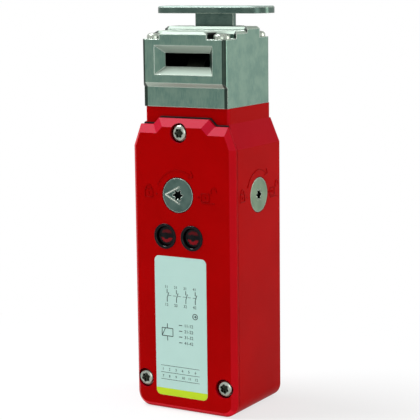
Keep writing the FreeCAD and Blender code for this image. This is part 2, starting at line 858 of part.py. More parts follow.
def make_cam_wheel():
    """Notched wheel with a spiral cheek on each side, at its place with the tongue in."""
    middle = rod(cam_radius, (-cam_half_width, 0, 0), 2 * cam_half_width, "x")
    for quarter in (0, 90):
        notch = box(-cam_half_width, cam_half_width, cam_notch_bottom, cam_radius + cam_notch_chamfer,
                    -cam_notch_half_width, cam_notch_half_width)
        mouth = edges_where(notch, lambda e, c: abs(c.y - cam_notch_bottom) < 1e-6
                            and abs(c.x) < 1e-6)
        notch = notch.makeChamfer(cam_notch_chamfer, mouth)
        notch.rotate(V(0, 0, 0), V(1, 0, 0), cam_rest_angle + quarter)
        middle = middle.cut(notch)
    width = cheek_half_width - cam_half_width
    left = snail_face(-cheek_half_width).extrude(V(width, 0, 0))
    right = snail_face(cam_half_width).extrude(V(width, 0, 0))
    wheel = middle.multiFuse([left, right])
    wheel = wheel.cut(rod(cam_pin_radius + cam_pin_gap, (-cheek_half_width, 0, 0),
                          2 * cheek_half_width, "x"))
    wheel.translate(V(0, mechanism_y, cam_z))
    return wheel


def make_cam_washers():
    """Square thrust washers that keep the wheel in the middle of the head."""
    thickness = slot_width / 2 - cheek_half_width - cam_washer_gap
    half = cheek_low_radius
    washers = []
    for side in (-1, 1):
        start = cheek_half_width + cam_washer_gap if side > 0 else -slot_width / 2
        plate = box(start, start + thickness, mechanism_y - half, mechanism_y + half,
                    cam_z - half, cam_z + half)
        washers.append(plate.cut(rod(cam_pin_radius, (start, mechanism_y, cam_z), thickness, "x")))
    return Part.makeCompound(washers)


def make_tongue():
    """T-shaped tongue: fixing plate with two countersunk holes, and a blade with a window."""
    plate = box(-plate_length / 2, plate_length / 2, blade_y - plate_depth / 2,
                blade_y + plate_depth / 2, plate_top_z - plate_thickness, plate_top_z)
    corners = edges_where(plate, lambda e, c: upright(e))
    plate = plate.makeFillet(plate_corner_radius, corners)
    rims = edges_where(plate, lambda e, c: abs(c.z - plate_top_z) < 1e-6)
    plate = plate.makeChamfer(plate_rim_chamfer, rims)
    blade = box(-blade_width / 2, blade_width / 2, blade_y - blade_thickness / 2,
                blade_y + blade_thickness / 2, blade_end_z, plate_top_z - plate_thickness)
    tip = edges_where(blade, lambda e, c: abs(c.z - blade_end_z) < 1e-6
                      and abs(abs(c.x) - blade_width / 2) < 1e-6)
    blade = blade.makeChamfer(blade_tip_chamfer, tip)
    window_z = blade_end_z + blade_crossbar
    window = box(-blade_window_width / 2, blade_window_width / 2, blade_y - blade_thickness,
                 blade_y + blade_thickness, window_z, window_z + blade_window_height)
    tongue = plate.fuse(blade).cut(window)
    for side in (-1, 1):
        x = side * plate_hole_spacing / 2
        tongue = tongue.cut(rod(plate_hole_radius, (x, blade_y, plate_top_z - plate_thickness),
                                plate_thickness))
        sink = plate_countersink_radius - plate_hole_radius
        tongue = tongue.cut(Part.makeCone(plate_hole_radius, plate_countersink_radius, sink,
                                          V(x, blade_y, plate_top_z - sink)))
    return tongue.removeSplitter()


# ---------------------------------------------------------------- drive rod and contacts
def make_drive_rod():
    """Rod with a fork that straddles the cam wheel and two collars."""
    base_low = fork_base_bottom()
    base_high = base_low + fork_base_thickness
    arm_top = cam_z - cheek_low_radius - fork_gap
    arm_inner = cam_half_width + fork_gap
    half_depth = fork_depth / 2
    pieces = [box(-cheek_half_width, cheek_half_width, mechanism_y - half_depth,
                  mechanism_y + half_depth, base_low, base_high)]
    for side in (-1, 1):
        near = side * arm_inner
        far = side * cheek_half_width
        pieces.append(box(min(near, far), max(near, far), mechanism_y - half_depth,
                          mechanism_y + half_depth, base_high, arm_top))
    pieces.append(rod(rod_radius, (0, mechanism_y, rod_bottom_z), base_low - rod_bottom_z))
    for z in (lock_collar_z, spring_collar_z):
        pieces.append(bar(round_sides, collar_radius, (0, mechanism_y, z), collar_thickness))
    return fuse(pieces)


def make_rod_bush():
    """Flanged bronze bush in the neck's floor."""
    inner = rod_radius + rod_gap
    top = fork_base_bottom() - rod_travel - cam_room
    tube = ring(inner + bush_wall, inner, (0, mechanism_y, cavity_top_z), top - cavity_top_z)
    flange = ring(inner + bush_wall + bush_flange, inner, (0, mechanism_y, bush_bottom_z),
                  cavity_top_z - bush_bottom_z)
    return tube.fuse(flange).removeSplitter()


def make_drive_spring():
    """Spring that holds the rod up against the cam."""
    return coil_spring((0, mechanism_y), drive_spring_radius, spring_shelf_z + shelf_thickness,
                       spring_collar_z, drive_spring_turns)


def carrier_levels():
    """Height of each contact bridge."""
    return [block_bottom_z + block_floor + rod_travel + bridge_low_gap + level * bridge_pitch
            for level in range(2)]


def make_contact_carrier():
    """Arm on the rod's lower end and the slider that carries the bridges."""
    arm = box(-rod_radius - carrier_arm_wall, carrier_x + carrier_width / 2,
              mechanism_y - carrier_depth / 2, mechanism_y + carrier_depth / 2,
              rod_bottom_z - carrier_arm_height, rod_bottom_z)
    bottom = block_bottom_z + block_floor + rod_travel + carrier_gap
    bar = box(carrier_x - carrier_width / 2, carrier_x + carrier_width / 2,
              mechanism_y - carrier_depth / 2, mechanism_y + carrier_depth / 2,
              bottom, rod_bottom_z - carrier_arm_height)
    carrier = fuse([arm, bar])
    return carrier.cut(make_contact_bridges())


def make_contact_bridges():
    """Bridges that the carrier moves between the fixed contacts."""
    reach = carrier_depth / 2 + bridge_reach
    bridges = []
    for z in carrier_levels():
        strip = box(carrier_x - carrier_width / 4, carrier_x + carrier_width / 4,
                    mechanism_y - reach, mechanism_y + reach, z, z + bridge_thickness)
        spots = [mechanism_y + side * (reach - button_inset) for side in (-1, 1)]
        buttons = [bar(shank_sides, carrier_width / 4, (carrier_x, y, z - bridge_thickness),
                       bridge_thickness) for y in spots]
        bridges.append(fuse([strip] + buttons))
    return Part.makeCompound(bridges)


def block_room():
    """Room inside the contact block for the carrier and its bridges."""
    half_x = carrier_width / 2 + carrier_gap
    half_y = carrier_depth / 2 + bridge_reach + carrier_gap
    return box(carrier_x - half_x, carrier_x + half_x, mechanism_y - half_y, mechanism_y + half_y,
               block_bottom_z + block_floor, block_top_z)


def terminal_places():
    """Middle of each terminal as (x, z) on the contact block's face."""
    shift = (block_right_x - block_left_x) / 4
    return [(carrier_x + side * shift, z - terminal_drop) for z in carrier_levels() for side in (-1, 1)]


def make_contact_block():
    """Moulded block that holds the fixed contacts and guides the carrier."""
    block = box(block_left_x, block_right_x, block_front_y, chassis_front_y,
                block_bottom_z, block_top_z)
    block = block.cut(block_room())
    cuts = []
    for x, z in terminal_places():
        half = terminal_strip_width / 2
        cuts.append(box(x - half, x + half, block_front_y,
                        block_front_y + terminal_strip_thickness, z - half, z + half))
        cuts.append(screw_hole((x, block_front_y, z), "y", -1, terminal_screw_radius,
                               terminal_screw_length))
    return block.cut(Part.makeCompound(cuts))


def make_terminal_strips():
    """Fixed contact tabs under the terminal screws."""
    half = terminal_strip_width / 2
    strips = []
    for x, z in terminal_places():
        tab = box(x - half, x + half, block_front_y, block_front_y + terminal_strip_thickness,
                  z - half, z + half)
        strips.append(tab.cut(screw_hole((x, block_front_y, z), "y", -1, terminal_screw_radius,
                                         terminal_strip_thickness)))
    return Part.makeCompound(strips)


def make_terminal_screws():
    """Terminal screws on the contact block."""
    return Part.makeCompound([
        plain_screw((x, block_front_y, z), "y", -1, terminal_screw_radius, terminal_head_radius,
                    terminal_head_height, terminal_screw_length) for x, z in terminal_places()])


# ---------------------------------------------------------------- solenoid and lock slide
def make_solenoid_frame():
    """Steel frame around the coil, with the fixed pole."""
    half = solenoid_half_width
    x = solenoid_x
    low, high = solenoid_bottom_z, solenoid_top_z
    back = chassis_front_y - solenoid_plate
    pieces = [box(x - half, x + half, mechanism_y - half, back + solenoid_plate,
                  low, low + solenoid_plate),
              box(x - half, x + half, mechanism_y - half, back + solenoid_plate,
                  high - solenoid_plate, high),
              box(x - half, x + half, back, back + solenoid_plate, low, high),
              rod(armature_radius, (x, mechanism_y, low), pole_height)]
    frame = fuse(pieces)
    return frame.cut(rod(armature_radius + armature_gap, (x, mechanism_y, high - solenoid_plate),
                         solenoid_plate))


def make_solenoid_bobbin():
    """Moulded bobbin between the frame's plates."""
    low = solenoid_bottom_z + solenoid_plate
    high = solenoid_top_z - solenoid_plate
    start = (solenoid_x, mechanism_y, low)
    inner = armature_radius + armature_gap
    half = solenoid_half_width - bobbin_flange_gap
    flanges = [box(solenoid_x - half, solenoid_x + half, mechanism_y - half, mechanism_y + half,
                   z, z + bobbin_flange) for z in (low, high - bobbin_flange)]
    bobbin = fuse([rod(inner + bobbin_wall, start, high - low)] + flanges)
    return bobbin.cut(rod(inner, start, high - low))


def make_solenoid_coil():
    """Copper winding on the bobbin."""
    low = solenoid_bottom_z + solenoid_plate + bobbin_flange
    high = solenoid_top_z - solenoid_plate - bobbin_flange
    place = (solenoid_x, mechanism_y, low)
    winding = bar(ring_sides, solenoid_half_width - coil_gap, place, high - low)
    return winding.cut(rod(armature_radius + armature_gap + bobbin_wall, place, high - low))


def make_armature():
    """Plunger with a clevis and a cross pin that works the lock slide."""
    bottom = solenoid_bottom_z + pole_height + lock_travel + armature_stop_gap
    plunger = rod(armature_radius, (solenoid_x, mechanism_y, bottom), armature_top_z - bottom)
    half = clevis_half_width
    clevis = box(solenoid_x - half, solenoid_x + half, mechanism_y - half, mechanism_y + half,
                 armature_top_z, clevis_top_z)
    flange = bar(round_sides, lock_spring_radius, (solenoid_x, mechanism_y, armature_top_z - clevis_flange),
                 clevis_flange)
    slot = link_leg_thickness / 2 + clevis_slot_gap
    body = fuse([plunger, clevis, flange])
    body = body.cut(box(solenoid_x - half, solenoid_x + half, mechanism_y - slot,
                        mechanism_y + slot, armature_top_z + clevis_flange, clevis_top_z))
    return body.fuse(rod(link_pin_radius, (solenoid_x, mechanism_y - half, link_pin_z),
                         2 * half, "y"))


def make_lock_spring():
    """Spring that holds the armature up, in the locked place."""
    return coil_spring((solenoid_x, mechanism_y), lock_spring_radius, solenoid_top_z,
                       armature_top_z - clevis_flange, lock_spring_turns)


def slotted(start, end, radius, y0, y1):
    """Slot cutter in the XZ plane between two centres."""
    (x0, z0), (x1, z1) = start, end
    length = math.hypot(x1 - x0, z1 - z0)
    along = ((x1 - x0) / length, (z1 - z0) / length)
    across = (-along[1] * radius, along[0] * radius)
    middle = prism_y([(x0 + across[0], z0 + across[1]), (x1 + across[0], z1 + across[1]),
                      (x1 - across[0], z1 - across[1]), (x0 - across[0], z0 - across[1])], y0, y1)
    ends = [rod(radius, (x, y0, z), y1 - y0, "y") for x, z in (start, end)]
    return middle.multiFuse(ends)


def make_lock_slide():
    """Slide under the rod's lock collar, with a yoke, a link leg and a pad for the side cam."""
    gap = slide_gap
    right_x = side_cam_high_x() - fork_gap
    left_x = solenoid_x - link_pin_radius - slide_end_wall
    plate = box(left_x, right_x, mechanism_y - slide_half_depth, mechanism_y + slide_half_depth,
                slide_bottom_z, lock_top_z)
    yoke_back = yoke_front_y() + yoke_thickness
    yoke_half = release_throw + release_pin_radius + yoke_gap + yoke_side_wall
    yoke_low = release_z - release_throw - release_pin_radius - yoke_gap - yoke_low_wall
    yoke = box(control_x - yoke_half, control_x + yoke_half, yoke_front_y(), yoke_back,
               yoke_low, lock_top_z)
    bridge = box(control_x - yoke_half, control_x + yoke_half, yoke_back,
                 mechanism_y - slide_half_depth, slide_bottom_z, lock_top_z)
    leg_half = link_leg_thickness / 2
    leg_low = link_pin_z - lock_travel - link_pin_radius - link_leg_low_wall
    leg = box(left_x, solenoid_x + lock_travel + link_pin_radius + link_leg_side_wall,
              mechanism_y - leg_half, mechanism_y + leg_half, leg_low, slide_bottom_z)
    slide = fuse([plate, yoke, bridge, leg])
    hole = rod_radius + gap
    slide = slide.cut(box(0, lock_travel, mechanism_y - hole, mechanism_y + hole,
                          slide_bottom_z, lock_top_z))
    for x in (0, lock_travel):
        slide = slide.cut(rod(hole, (x, mechanism_y, slide_bottom_z), slide_thickness))
    pin_x = control_x + release_throw
    yoke_room = release_pin_radius + yoke_gap
    slide = slide.cut(slotted((pin_x, release_z - release_throw), (pin_x, release_z), yoke_room,
                              yoke_front_y(), yoke_back))
    slide = slide.cut(slotted((solenoid_x, link_pin_z),
                              (solenoid_x + lock_travel, link_pin_z - lock_travel),
                              link_pin_radius + clevis_slot_gap, mechanism_y - leg_half,
                              mechanism_y + leg_half))
    return slide


def yoke_front_y():
    """Front face of the slide's yoke."""
    collar_end = joint_y + release_boss_length + clip_thickness + release_collar_thickness
    return collar_end + slide_gap


def led_board_front():
    """Front face of the indicator board."""
    return joint_y + led_board_gap


# ---------------------------------------------------------------- releases
def clip_ring(start, axis):
    """Retaining clip: a ring with a gap."""
    clip = ring(release_shaft_radius + clip_width, release_shaft_radius, start, clip_thickness, axis)
    gap = release_shaft_radius * clip_mouth_share
    reach = release_shaft_radius + clip_width
    if axis == "y":
        cut = box(start[0] - gap, start[0] + gap, start[1], start[1] + clip_thickness,
                  start[2] - reach, start[2])
    else:
        cut = box(start[0], start[0] + clip_thickness, start[1] - gap, start[1] + gap,
                  start[2] - reach, start[2])
    return clip.cut(cut)


def seal_ring(start, depth, axis):
    """Face seal, or its groove, around a release shaft."""
    inner = release_seal_radius - release_seal_width
    return hollow_bar(release_seal_radius, inner, start, depth, axis)


def make_front_release():
    """Front release: slotted disc, shaft, crank collar and eccentric pin."""
    x, z = control_x, release_z
    disc = rod(release_disc_radius, (x, front_y, z), release_disc_thickness, "y")
    shaft_end = joint_y + release_boss_length + clip_thickness
    shaft = rod(release_shaft_radius, (x, front_y, z), shaft_end - front_y, "y")
    collar = rod(release_collar_radius, (x, shaft_end, z), release_collar_thickness, "y")
    pin_start = shaft_end + release_collar_thickness
    pin = rod(release_pin_radius, (x + release_throw, pin_start, z),
              yoke_front_y() + yoke_thickness - release_pin_end_gap - pin_start, "y")
    release = fuse([disc, shaft, collar, pin])
    groove_y = front_y + release_disc_thickness - release_seal_depth
    release = release.cut(seal_ring((x, groove_y, z), release_seal_depth, "y"))
    release = release.cut(torx_recess((x, front_y, z), "y", -1, release_recess_radius))
    half = arrow_groove_width / 2
    for side in (-1, 1):
        groove = box(0, arrow_length, -arrow_groove_depth, arrow_groove_depth, -half, half)
        groove.rotate(V(0, 0, 0), V(0, 1, 0), side * arrow_half_angle)
        groove.translate(V(x - arrow_tip_x, front_y, z))
        release = release.cut(groove)
    return release


def side_cam_high_x():
    """Innermost point of the side release's sloping cam face."""
    return half_width - side_wall - release_boss_length - clip_thickness - side_cam_gap - lock_travel


def make_side_release():
    """Side release: disc, shaft and a cam end cut on a slope."""
    y, z = side_release_y, side_release_z
    disc_x = half_width - release_disc_thickness
    disc = rod(release_disc_radius, (disc_x, y, z), release_disc_thickness, "x")
    high_x = side_cam_high_x()
    low_x = high_x + lock_travel
    shaft = rod(release_shaft_radius, (low_x, y, z), disc_x - low_x, "x")
    radius = side_cam_radius
    cam = rod(radius, (high_x, y, z), lock_travel + side_cam_gap, "x")
    cutter = polygon([(high_x, y - 2 * radius, z - radius), (low_x, y - 2 * radius, z + radius),
                      (high_x - side_cam_gap, y - 2 * radius, z + radius),
                      (high_x - side_cam_gap, y - 2 * radius, z - radius)])
    cam = cam.cut(Part.Face(cutter).extrude(V(0, 4 * radius, 0)))
    release = fuse([disc, shaft, cam])
    release = release.cut(seal_ring((disc_x, y, z), release_seal_depth, "x"))
    return release.cut(torx_recess((half_width, y, z), "x", 1, release_recess_radius))


def make_release_seals():
    """Face seal under each release disc: front, then side."""
    groove_y = front_y + release_disc_thickness - release_seal_depth
    front = seal_ring((control_x, groove_y, release_z), release_seal_height, "y")
    groove_x = half_width - release_disc_thickness + release_seal_depth - release_seal_height
    side = seal_ring((groove_x, side_release_y, side_release_z), release_seal_height, "x")
    return front, side


# ---------------------------------------------------------------- indicators and label
def led_inner_radius():
    """Bore of an indicator's sleeve."""
    return led_bezel_radius - led_bezel_wall


def make_led_bezels():
    """Sleeves of the two indicators."""
    return Part.makeCompound([
        hollow_bar(led_bezel_radius, led_inner_radius(), (x, front_y, led_z), led_bezel_length, "y")
        for x in led_places()])


def make_led_lenses():
    """Windows inside the sleeves."""
    return Part.makeCompound([
        bar(ring_sides, led_inner_radius(), (x, front_y + led_lens_depth, led_z),
            led_lens_thickness, "y")
        for x in led_places()])


def make_leds():
    """Lamps on the board, narrowed towards the front."""
    board = led_board_front()
    lamps = []
    for x in led_places():
        base_y = board - led_stem_length
        stem = bar(round_sides, led_dome_radius, (x, base_y, led_z), led_stem_length, "y")
        nose = taper(round_sides, led_dome_radius, led_dome_radius * led_nose_share,
                     (x, base_y, led_z), -led_nose_length, "y")
        lamps.append(stem.fuse(nose))
    return Part.makeCompound(lamps)


def make_led_board():
    """Indicator board on the cover's two posts."""
    half_x = led_spacing / 2 + led_dome_radius + led_board_margin
    half_z = led_post_offset_z + led_post_radius
    y = led_board_front()
    return box(control_x - half_x, control_x + half_x, y, y + led_board_thickness,
               led_z - half_z, led_z + half_z)


# ---------------------------------------------------------------- chassis and wiring
def make_chassis():
    """Moulded chassis on the back wall, with the spring shelf and the slide's guides."""
    plate = box(-chassis_half_width, chassis_half_width, chassis_front_y, inner_back_y,
                chassis_bottom_z, chassis_top_z)
    shelf_front = mechanism_y - drive_spring_radius - shelf_rim
    shelf = box(solenoid_x + solenoid_half_width + shelf_gap, drive_spring_radius + shelf_rim, shelf_front,
                chassis_front_y, spring_shelf_z, spring_shelf_z + shelf_thickness)
    rail_x = collar_radius + rail_gap
    rail = box(rail_x, rail_x + rail_width, mechanism_y - slide_half_depth, chassis_front_y,
               slide_bottom_z - slide_gap - rail_height, slide_bottom_z - slide_gap)
    chassis = fuse([plate, shelf, rail])
    chassis = chassis.cut(rod(rod_radius + slide_gap, (0, mechanism_y, spring_shelf_z),
                              shelf_thickness))
    for x, z in chassis_screw_places():
        chassis = chassis.cut(screw_hole((x, chassis_front_y, z), "y", -1, chassis_screw_radius,
                                         chassis_thickness))
    return chassis


def chassis_screw_places():
    """Middle of each chassis screw as (x, z)."""
    x = chassis_half_width - chassis_screw_inset
    z = chassis_top_z - chassis_screw_inset
    return [(-x, z), (x, z), (0, chassis_low_screw_z)]


def make_chassis_screws():
    """Three screws through the chassis into the back wall."""
    return Part.makeCompound([
        plain_screw((x, chassis_front_y, z), "y", -1, chassis_screw_radius,
                    chassis_screw_head_radius, chassis_screw_head_height, chassis_screw_length)
        for x, z in chassis_screw_places()])


def make_wiring_block():
    """Small terminal block for the solenoid's leads."""
    return box(solenoid_x - solenoid_half_width, solenoid_x + solenoid_half_width,
               block_front_y + wiring_block_inset, chassis_front_y, chassis_bottom_z,
               chassis_bottom_z + wiring_block_height)


def build():
    """Every node with its shape."""
    front_seal, side_seal = make_release_seals()
    front_shaft = (control_x, joint_y + release_boss_length, release_z)
    side_shaft = (half_width - side_wall - release_boss_length - clip_thickness, side_release_y,
                  side_release_z)
    return {
        "housing": make_housing(),
        "cover": make_cover(),
        "cover_gasket": make_cover_gasket(),
        "cover_screws": make_cover_screws(),
        "rating_label": label_plate(front_y + label_recess_depth - label_thickness, label_thickness),
        "head_casting": make_head(),
        "head_gasket": make_head_gasket(),
        "head_screws": make_head_screws(),
        "cam_pin": make_cam_pin(),
        "cam_pin_keepers": make_cam_pin_keepers(),
        "cam_washers": make_cam_washers(),
        "cam_wheel": make_cam_wheel(),
        "tongue": make_tongue(),
        "rod_bush": make_rod_bush(),
        "drive_rod": make_drive_rod(),
        "drive_spring": make_drive_spring(),
        "contact_carrier": make_contact_carrier(),
        "contact_bridges": make_contact_bridges(),
        "contact_block": make_contact_block(),
        "terminal_strips": make_terminal_strips(),
        "terminal_screws": make_terminal_screws(),
        "chassis": make_chassis(),
        "chassis_screws": make_chassis_screws(),
        "wiring_block": make_wiring_block(),
        "solenoid_frame": make_solenoid_frame(),
        "solenoid_bobbin": make_solenoid_bobbin(),
        "solenoid_coil": make_solenoid_coil(),
        "armature": make_armature(),
        "lock_spring": make_lock_spring(),
        "lock_slide": make_lock_slide(),
        "front_release": make_front_release(),
        "front_release_seal": front_seal,
        "front_release_clip": clip_ring(front_shaft, "y"),
        "side_release": make_side_release(),
        "side_release_seal": side_seal,
        "side_release_clip": clip_ring(side_shaft, "x"),
        "led_bezels": make_led_bezels(),
        "led_lenses": make_led_lenses(),
        "leds": make_leds(),
        "led_board": make_led_board(),
    }


os.makedirs("parts", exist_ok=True)
for node, shape in build().items():
    save(node, shape)
    box_of = shape.BoundBox
    print(node, len(shape.Solids), "solids", "valid" if shape.isValid() else "INVALID",
          round(shape.Volume, 1), [round(v, 1) for v in
          (box_of.XMin, box_of.XMax, box_of.YMin, box_of.YMax, box_of.ZMin, box_of.ZMax)])
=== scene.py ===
# %% [markdown]
# # A tongue interlock switch
# A guard door on a machine carries a steel tongue. The switch beside the door holds that tongue
# and cuts the power when it leaves. The body is painted die-cast metal and the head is steel.
# The CAD model already has every piece at its true size. Here it gets its finishes, its small
# relief, its lamps and its light. We start by loading that model.

# %% Load the frame
import json
import math
import bmesh
import bpy
from mathutils import Matrix, Vector


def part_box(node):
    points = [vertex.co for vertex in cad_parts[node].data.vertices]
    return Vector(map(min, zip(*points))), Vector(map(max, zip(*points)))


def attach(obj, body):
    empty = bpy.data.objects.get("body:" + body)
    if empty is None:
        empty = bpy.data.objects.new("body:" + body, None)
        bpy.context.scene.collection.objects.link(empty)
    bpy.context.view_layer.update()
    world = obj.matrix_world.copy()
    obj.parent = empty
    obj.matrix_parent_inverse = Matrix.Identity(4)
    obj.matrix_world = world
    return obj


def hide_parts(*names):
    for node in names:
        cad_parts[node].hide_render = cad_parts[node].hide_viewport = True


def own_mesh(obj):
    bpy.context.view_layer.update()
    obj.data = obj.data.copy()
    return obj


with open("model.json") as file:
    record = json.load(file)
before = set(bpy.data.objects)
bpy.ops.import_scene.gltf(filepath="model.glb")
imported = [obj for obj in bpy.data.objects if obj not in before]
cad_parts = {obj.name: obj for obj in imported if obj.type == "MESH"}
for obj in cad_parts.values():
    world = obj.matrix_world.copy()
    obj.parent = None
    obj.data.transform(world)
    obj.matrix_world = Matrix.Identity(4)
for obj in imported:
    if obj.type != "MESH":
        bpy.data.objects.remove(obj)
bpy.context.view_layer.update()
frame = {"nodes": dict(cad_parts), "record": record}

nodes = frame["nodes"]

# %% [markdown]
# ## Millimetres
# Blender counts in metres and the drawing of this switch in millimetres. One short helper turns
# a drawing size into metres, so that each size below reads as it does on the drawing.

# %% A helper for sizes
def mm(*sizes):
    """Millimetres to metres: one number, or a vector from three."""
    if len(sizes) == 1:
        return sizes[0] / 1000
    return Vector([size / 1000 for size in sizes])


print("25 mm is", mm(25), "m")

# %% [markdown]
# ## Sums inside a material
# A node graph is a sum drawn as boxes and wires. It is quicker to read as a written sum, so a
# small class wraps one socket and gives it plus, minus and times. Each sign adds one Math node.
# The reflected forms let a plain number stand on the left.

# %% The wire class
class Wire:
    """One output socket of a material, on which sums can be written."""

    def __init__(self, shade, socket):
        self.shade = shade
        self.socket = socket

    def math(self, operation, *terms):
        return self.shade.node("ShaderNodeMath", {"operation": operation}, dict(enumerate(terms)))

    def __add__(self, other):
        return self.math("ADD", self, other)

    def __radd__(self, other):
        return self.math("ADD", other, self)

    def __sub__(self, other):
        return self.math("SUBTRACT", self, other)

    def __rsub__(self, other):
        return self.math("SUBTRACT", other, self)

    def __mul__(self, other):
        return self.math("MULTIPLY", self, other)

    def __rmul__(self, other):
        return self.math("MULTIPLY", other, self)

    def size(self):
        """The sum without its sign."""
        return self.math("ABSOLUTE", self)

    def root(self):
        return self.math("SQRT", self)

    def sine(self):
        return self.math("SINE", self)

    def ramp(self, low, high):
        """0 below low, 1 above high, and a soft rise between them."""
        return self.shade.node("ShaderNodeMapRange", {"interpolation_type": "SMOOTHSTEP"},
                               {0: self, 1: low, 2: high, 3: 0.0, 4: 1.0})


print("sums ready")

# %% [markdown]
# ## A material in the making
# Shade makes a material and hands out its nodes. Its node() method takes the settings first and
# then the values, where a value may be a number, a colour or a wire. A few named methods below
# it cover what nearly every finish needs: object coordinates, noise, a mix and a bump. The sky
# has a node tree too, so Shade also takes a world in place of a new material.

# %% The shade class
class Shade:
    """A material, or a world, and the few ways that its nodes are made."""

    def __init__(self, name, world=None):
        self.material = world or bpy.data.materials.new(name)
        self.material.use_nodes = True
        self.tree = self.material.node_tree
        self.surface = self.tree.nodes.get("Principled BSDF")

    def feed(self, socket, value):
        if isinstance(value, Wire):
            self.tree.links.new(value.socket, socket)
        else:
            socket.default_value = value

    def node(self, kind, settings=None, values=None, output=0):
        made = self.tree.nodes.new(kind)
        for name, value in (settings or {}).items():
            setattr(made, name, value)
        for key, value in (values or {}).items():
            self.feed(made.inputs[key], value)
        return Wire(self, made.outputs[output])

    def place(self, stretch=(1, 1, 1)):
        """Object coordinates in metres, stretched along the three axes."""
        here = self.node("ShaderNodeTexCoord", output="Object")
        return self.node("ShaderNodeMapping", values={"Vector": here, "Scale": stretch})

    def axis(self, letter, what="Object"):
        here = self.node("ShaderNodeTexCoord", output=what)
        return self.node("ShaderNodeSeparateXYZ", values={0: here}, output=letter)

    def from_line(self, across, centre):
        """Metres from a line through centre, which is square to the two axes in across."""
        one, two = (self.axis(letter) - centre["XYZ".index(letter)] for letter in across)
        return (one * one + two * two).root()

    def facing(self, letter):
        """How far the surface faces along an axis of the object, from -1 to 1."""
        return self.axis(letter, "Normal")

    def noise(self, per_metre, detail=3.0, stretch=(1, 1, 1), rough=0.55):
        return self.node("ShaderNodeTexNoise", values={
            "Vector": self.place(stretch), "Scale": per_metre, "Detail": detail,
            "Roughness": rough})

    def mix(self, factor, first, second):
        return self.node("ShaderNodeMix", {"data_type": "RGBA"},
                         {0: factor, 6: first, 7: second}, output=2)

    def rounded(self, radius):
        """The surface direction with its sharp edges rounded off."""
        return self.node("ShaderNodeBevel", {"samples": 4}, {"Radius": radius})

    def edge(self, radius, low=0.01, high=0.12):
        """1 along sharp edges and 0 on open faces."""
        flat = self.node("ShaderNodeNewGeometry", output="Normal")
        same = self.node("ShaderNodeVectorMath", {"operation": "DOT_PRODUCT"},
                         {0: self.rounded(radius), 1: flat}, output="Value")
        return (1.0 - same).ramp(low, high)

    def shut_in(self, reach):
        """1 deep in a gap narrower than reach, and 0 in the open."""
        sky = self.node("ShaderNodeAmbientOcclusion", {"samples": 8}, {"Distance": reach},
                        output="AO")
        return 1.0 - sky

    def bump(self, height, depth, strength=1.0, below=None):
        values = {"Height": height, "Distance": depth, "Strength": strength}
        if below is not None:
            values["Normal"] = below
        return self.node("ShaderNodeBump", values=values)

    def finish(self, **values):
        """Fill the surface's sockets; underscores in the names stand for spaces."""
        for name, value in values.items():
            self.feed(self.surface.inputs[name.replace("_", " ")], value)
        return self.material


print("shade class ready")

# %% [markdown]
# ## Colours
# Paint charts give a colour as it looks on a display, from 0 to 255. A shader works with the
# amount of light instead, which rises much faster, so each part is bent by the display's curve.

# %% A helper for colours
def colour(red, green, blue):
    """A display colour, 0 to 255, as the linear colour that a shader takes."""
    parts = []
    for part in (red, green, blue):
        share = part / 255
        parts.append(share / 12.92 if share <= 0.04045 else ((share + 0.055) / 1.055) ** 2.4)
    return (*parts, 1.0)


print("middle grey is", [round(part, 3) for part in colour(128, 128, 128)])

# %% [markdown]
# ## Where the plugs sit
# Two release plugs stand in the painted walls, one in front and one on the side. The paint has
# a thin painted shadow round them, their own steel has rings about their middle, and the lock marks
# stand beside them. All of these need the plugs' places, which are read here from the CAD model.

# %% Places of the plugs
release_low, release_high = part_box("front_release")
side_low, side_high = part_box("side_release")
front_release_centre = (release_low + release_high) / 2
side_release_centre = (side_low + side_high) / 2
print("front release at", [round(v * 1000, 2) for v in front_release_centre])

# %% [markdown]
# ## Red paint
# The body is sprayed and baked. Such paint has a faint orange-peel skin about a millimetre
# across. Sharp edges are painted paler as a painted highlight, and narrow gaps darker as painted
# shade; an ambient occlusion node finds those gaps: it is low where nearby walls shut out the sky.
# The spray settles thicker and glossier on the bevels that lean up at the front, so they get a
# coat. Those bevels, the slanted upright ones and the ones that face down at the front are also
# painted a paler pink, as painted highlights.
# Small raised marks are too fine for that, and have painted shadow outlines on their edges
# instead of painted highlights.

# %% Red paint
def plug_gap_shadow(shade, across, low, high):
    """1 within a plug's edge and in a thin painted shadow line round it; its box is low to high.

    The wall on the far side of the body faces along the same axis and is marked as well.
    """
    side = "XYZ".index(across[0])
    beyond = shade.from_line(across, (low + high) / 2) - (high[side] - low[side]) / 2
    facing = shade.facing("Y" if across == "XZ" else "X").size()
    return (1.0 - beyond.ramp(mm(0.3), mm(0.5))) * facing.ramp(0.8, 0.9)


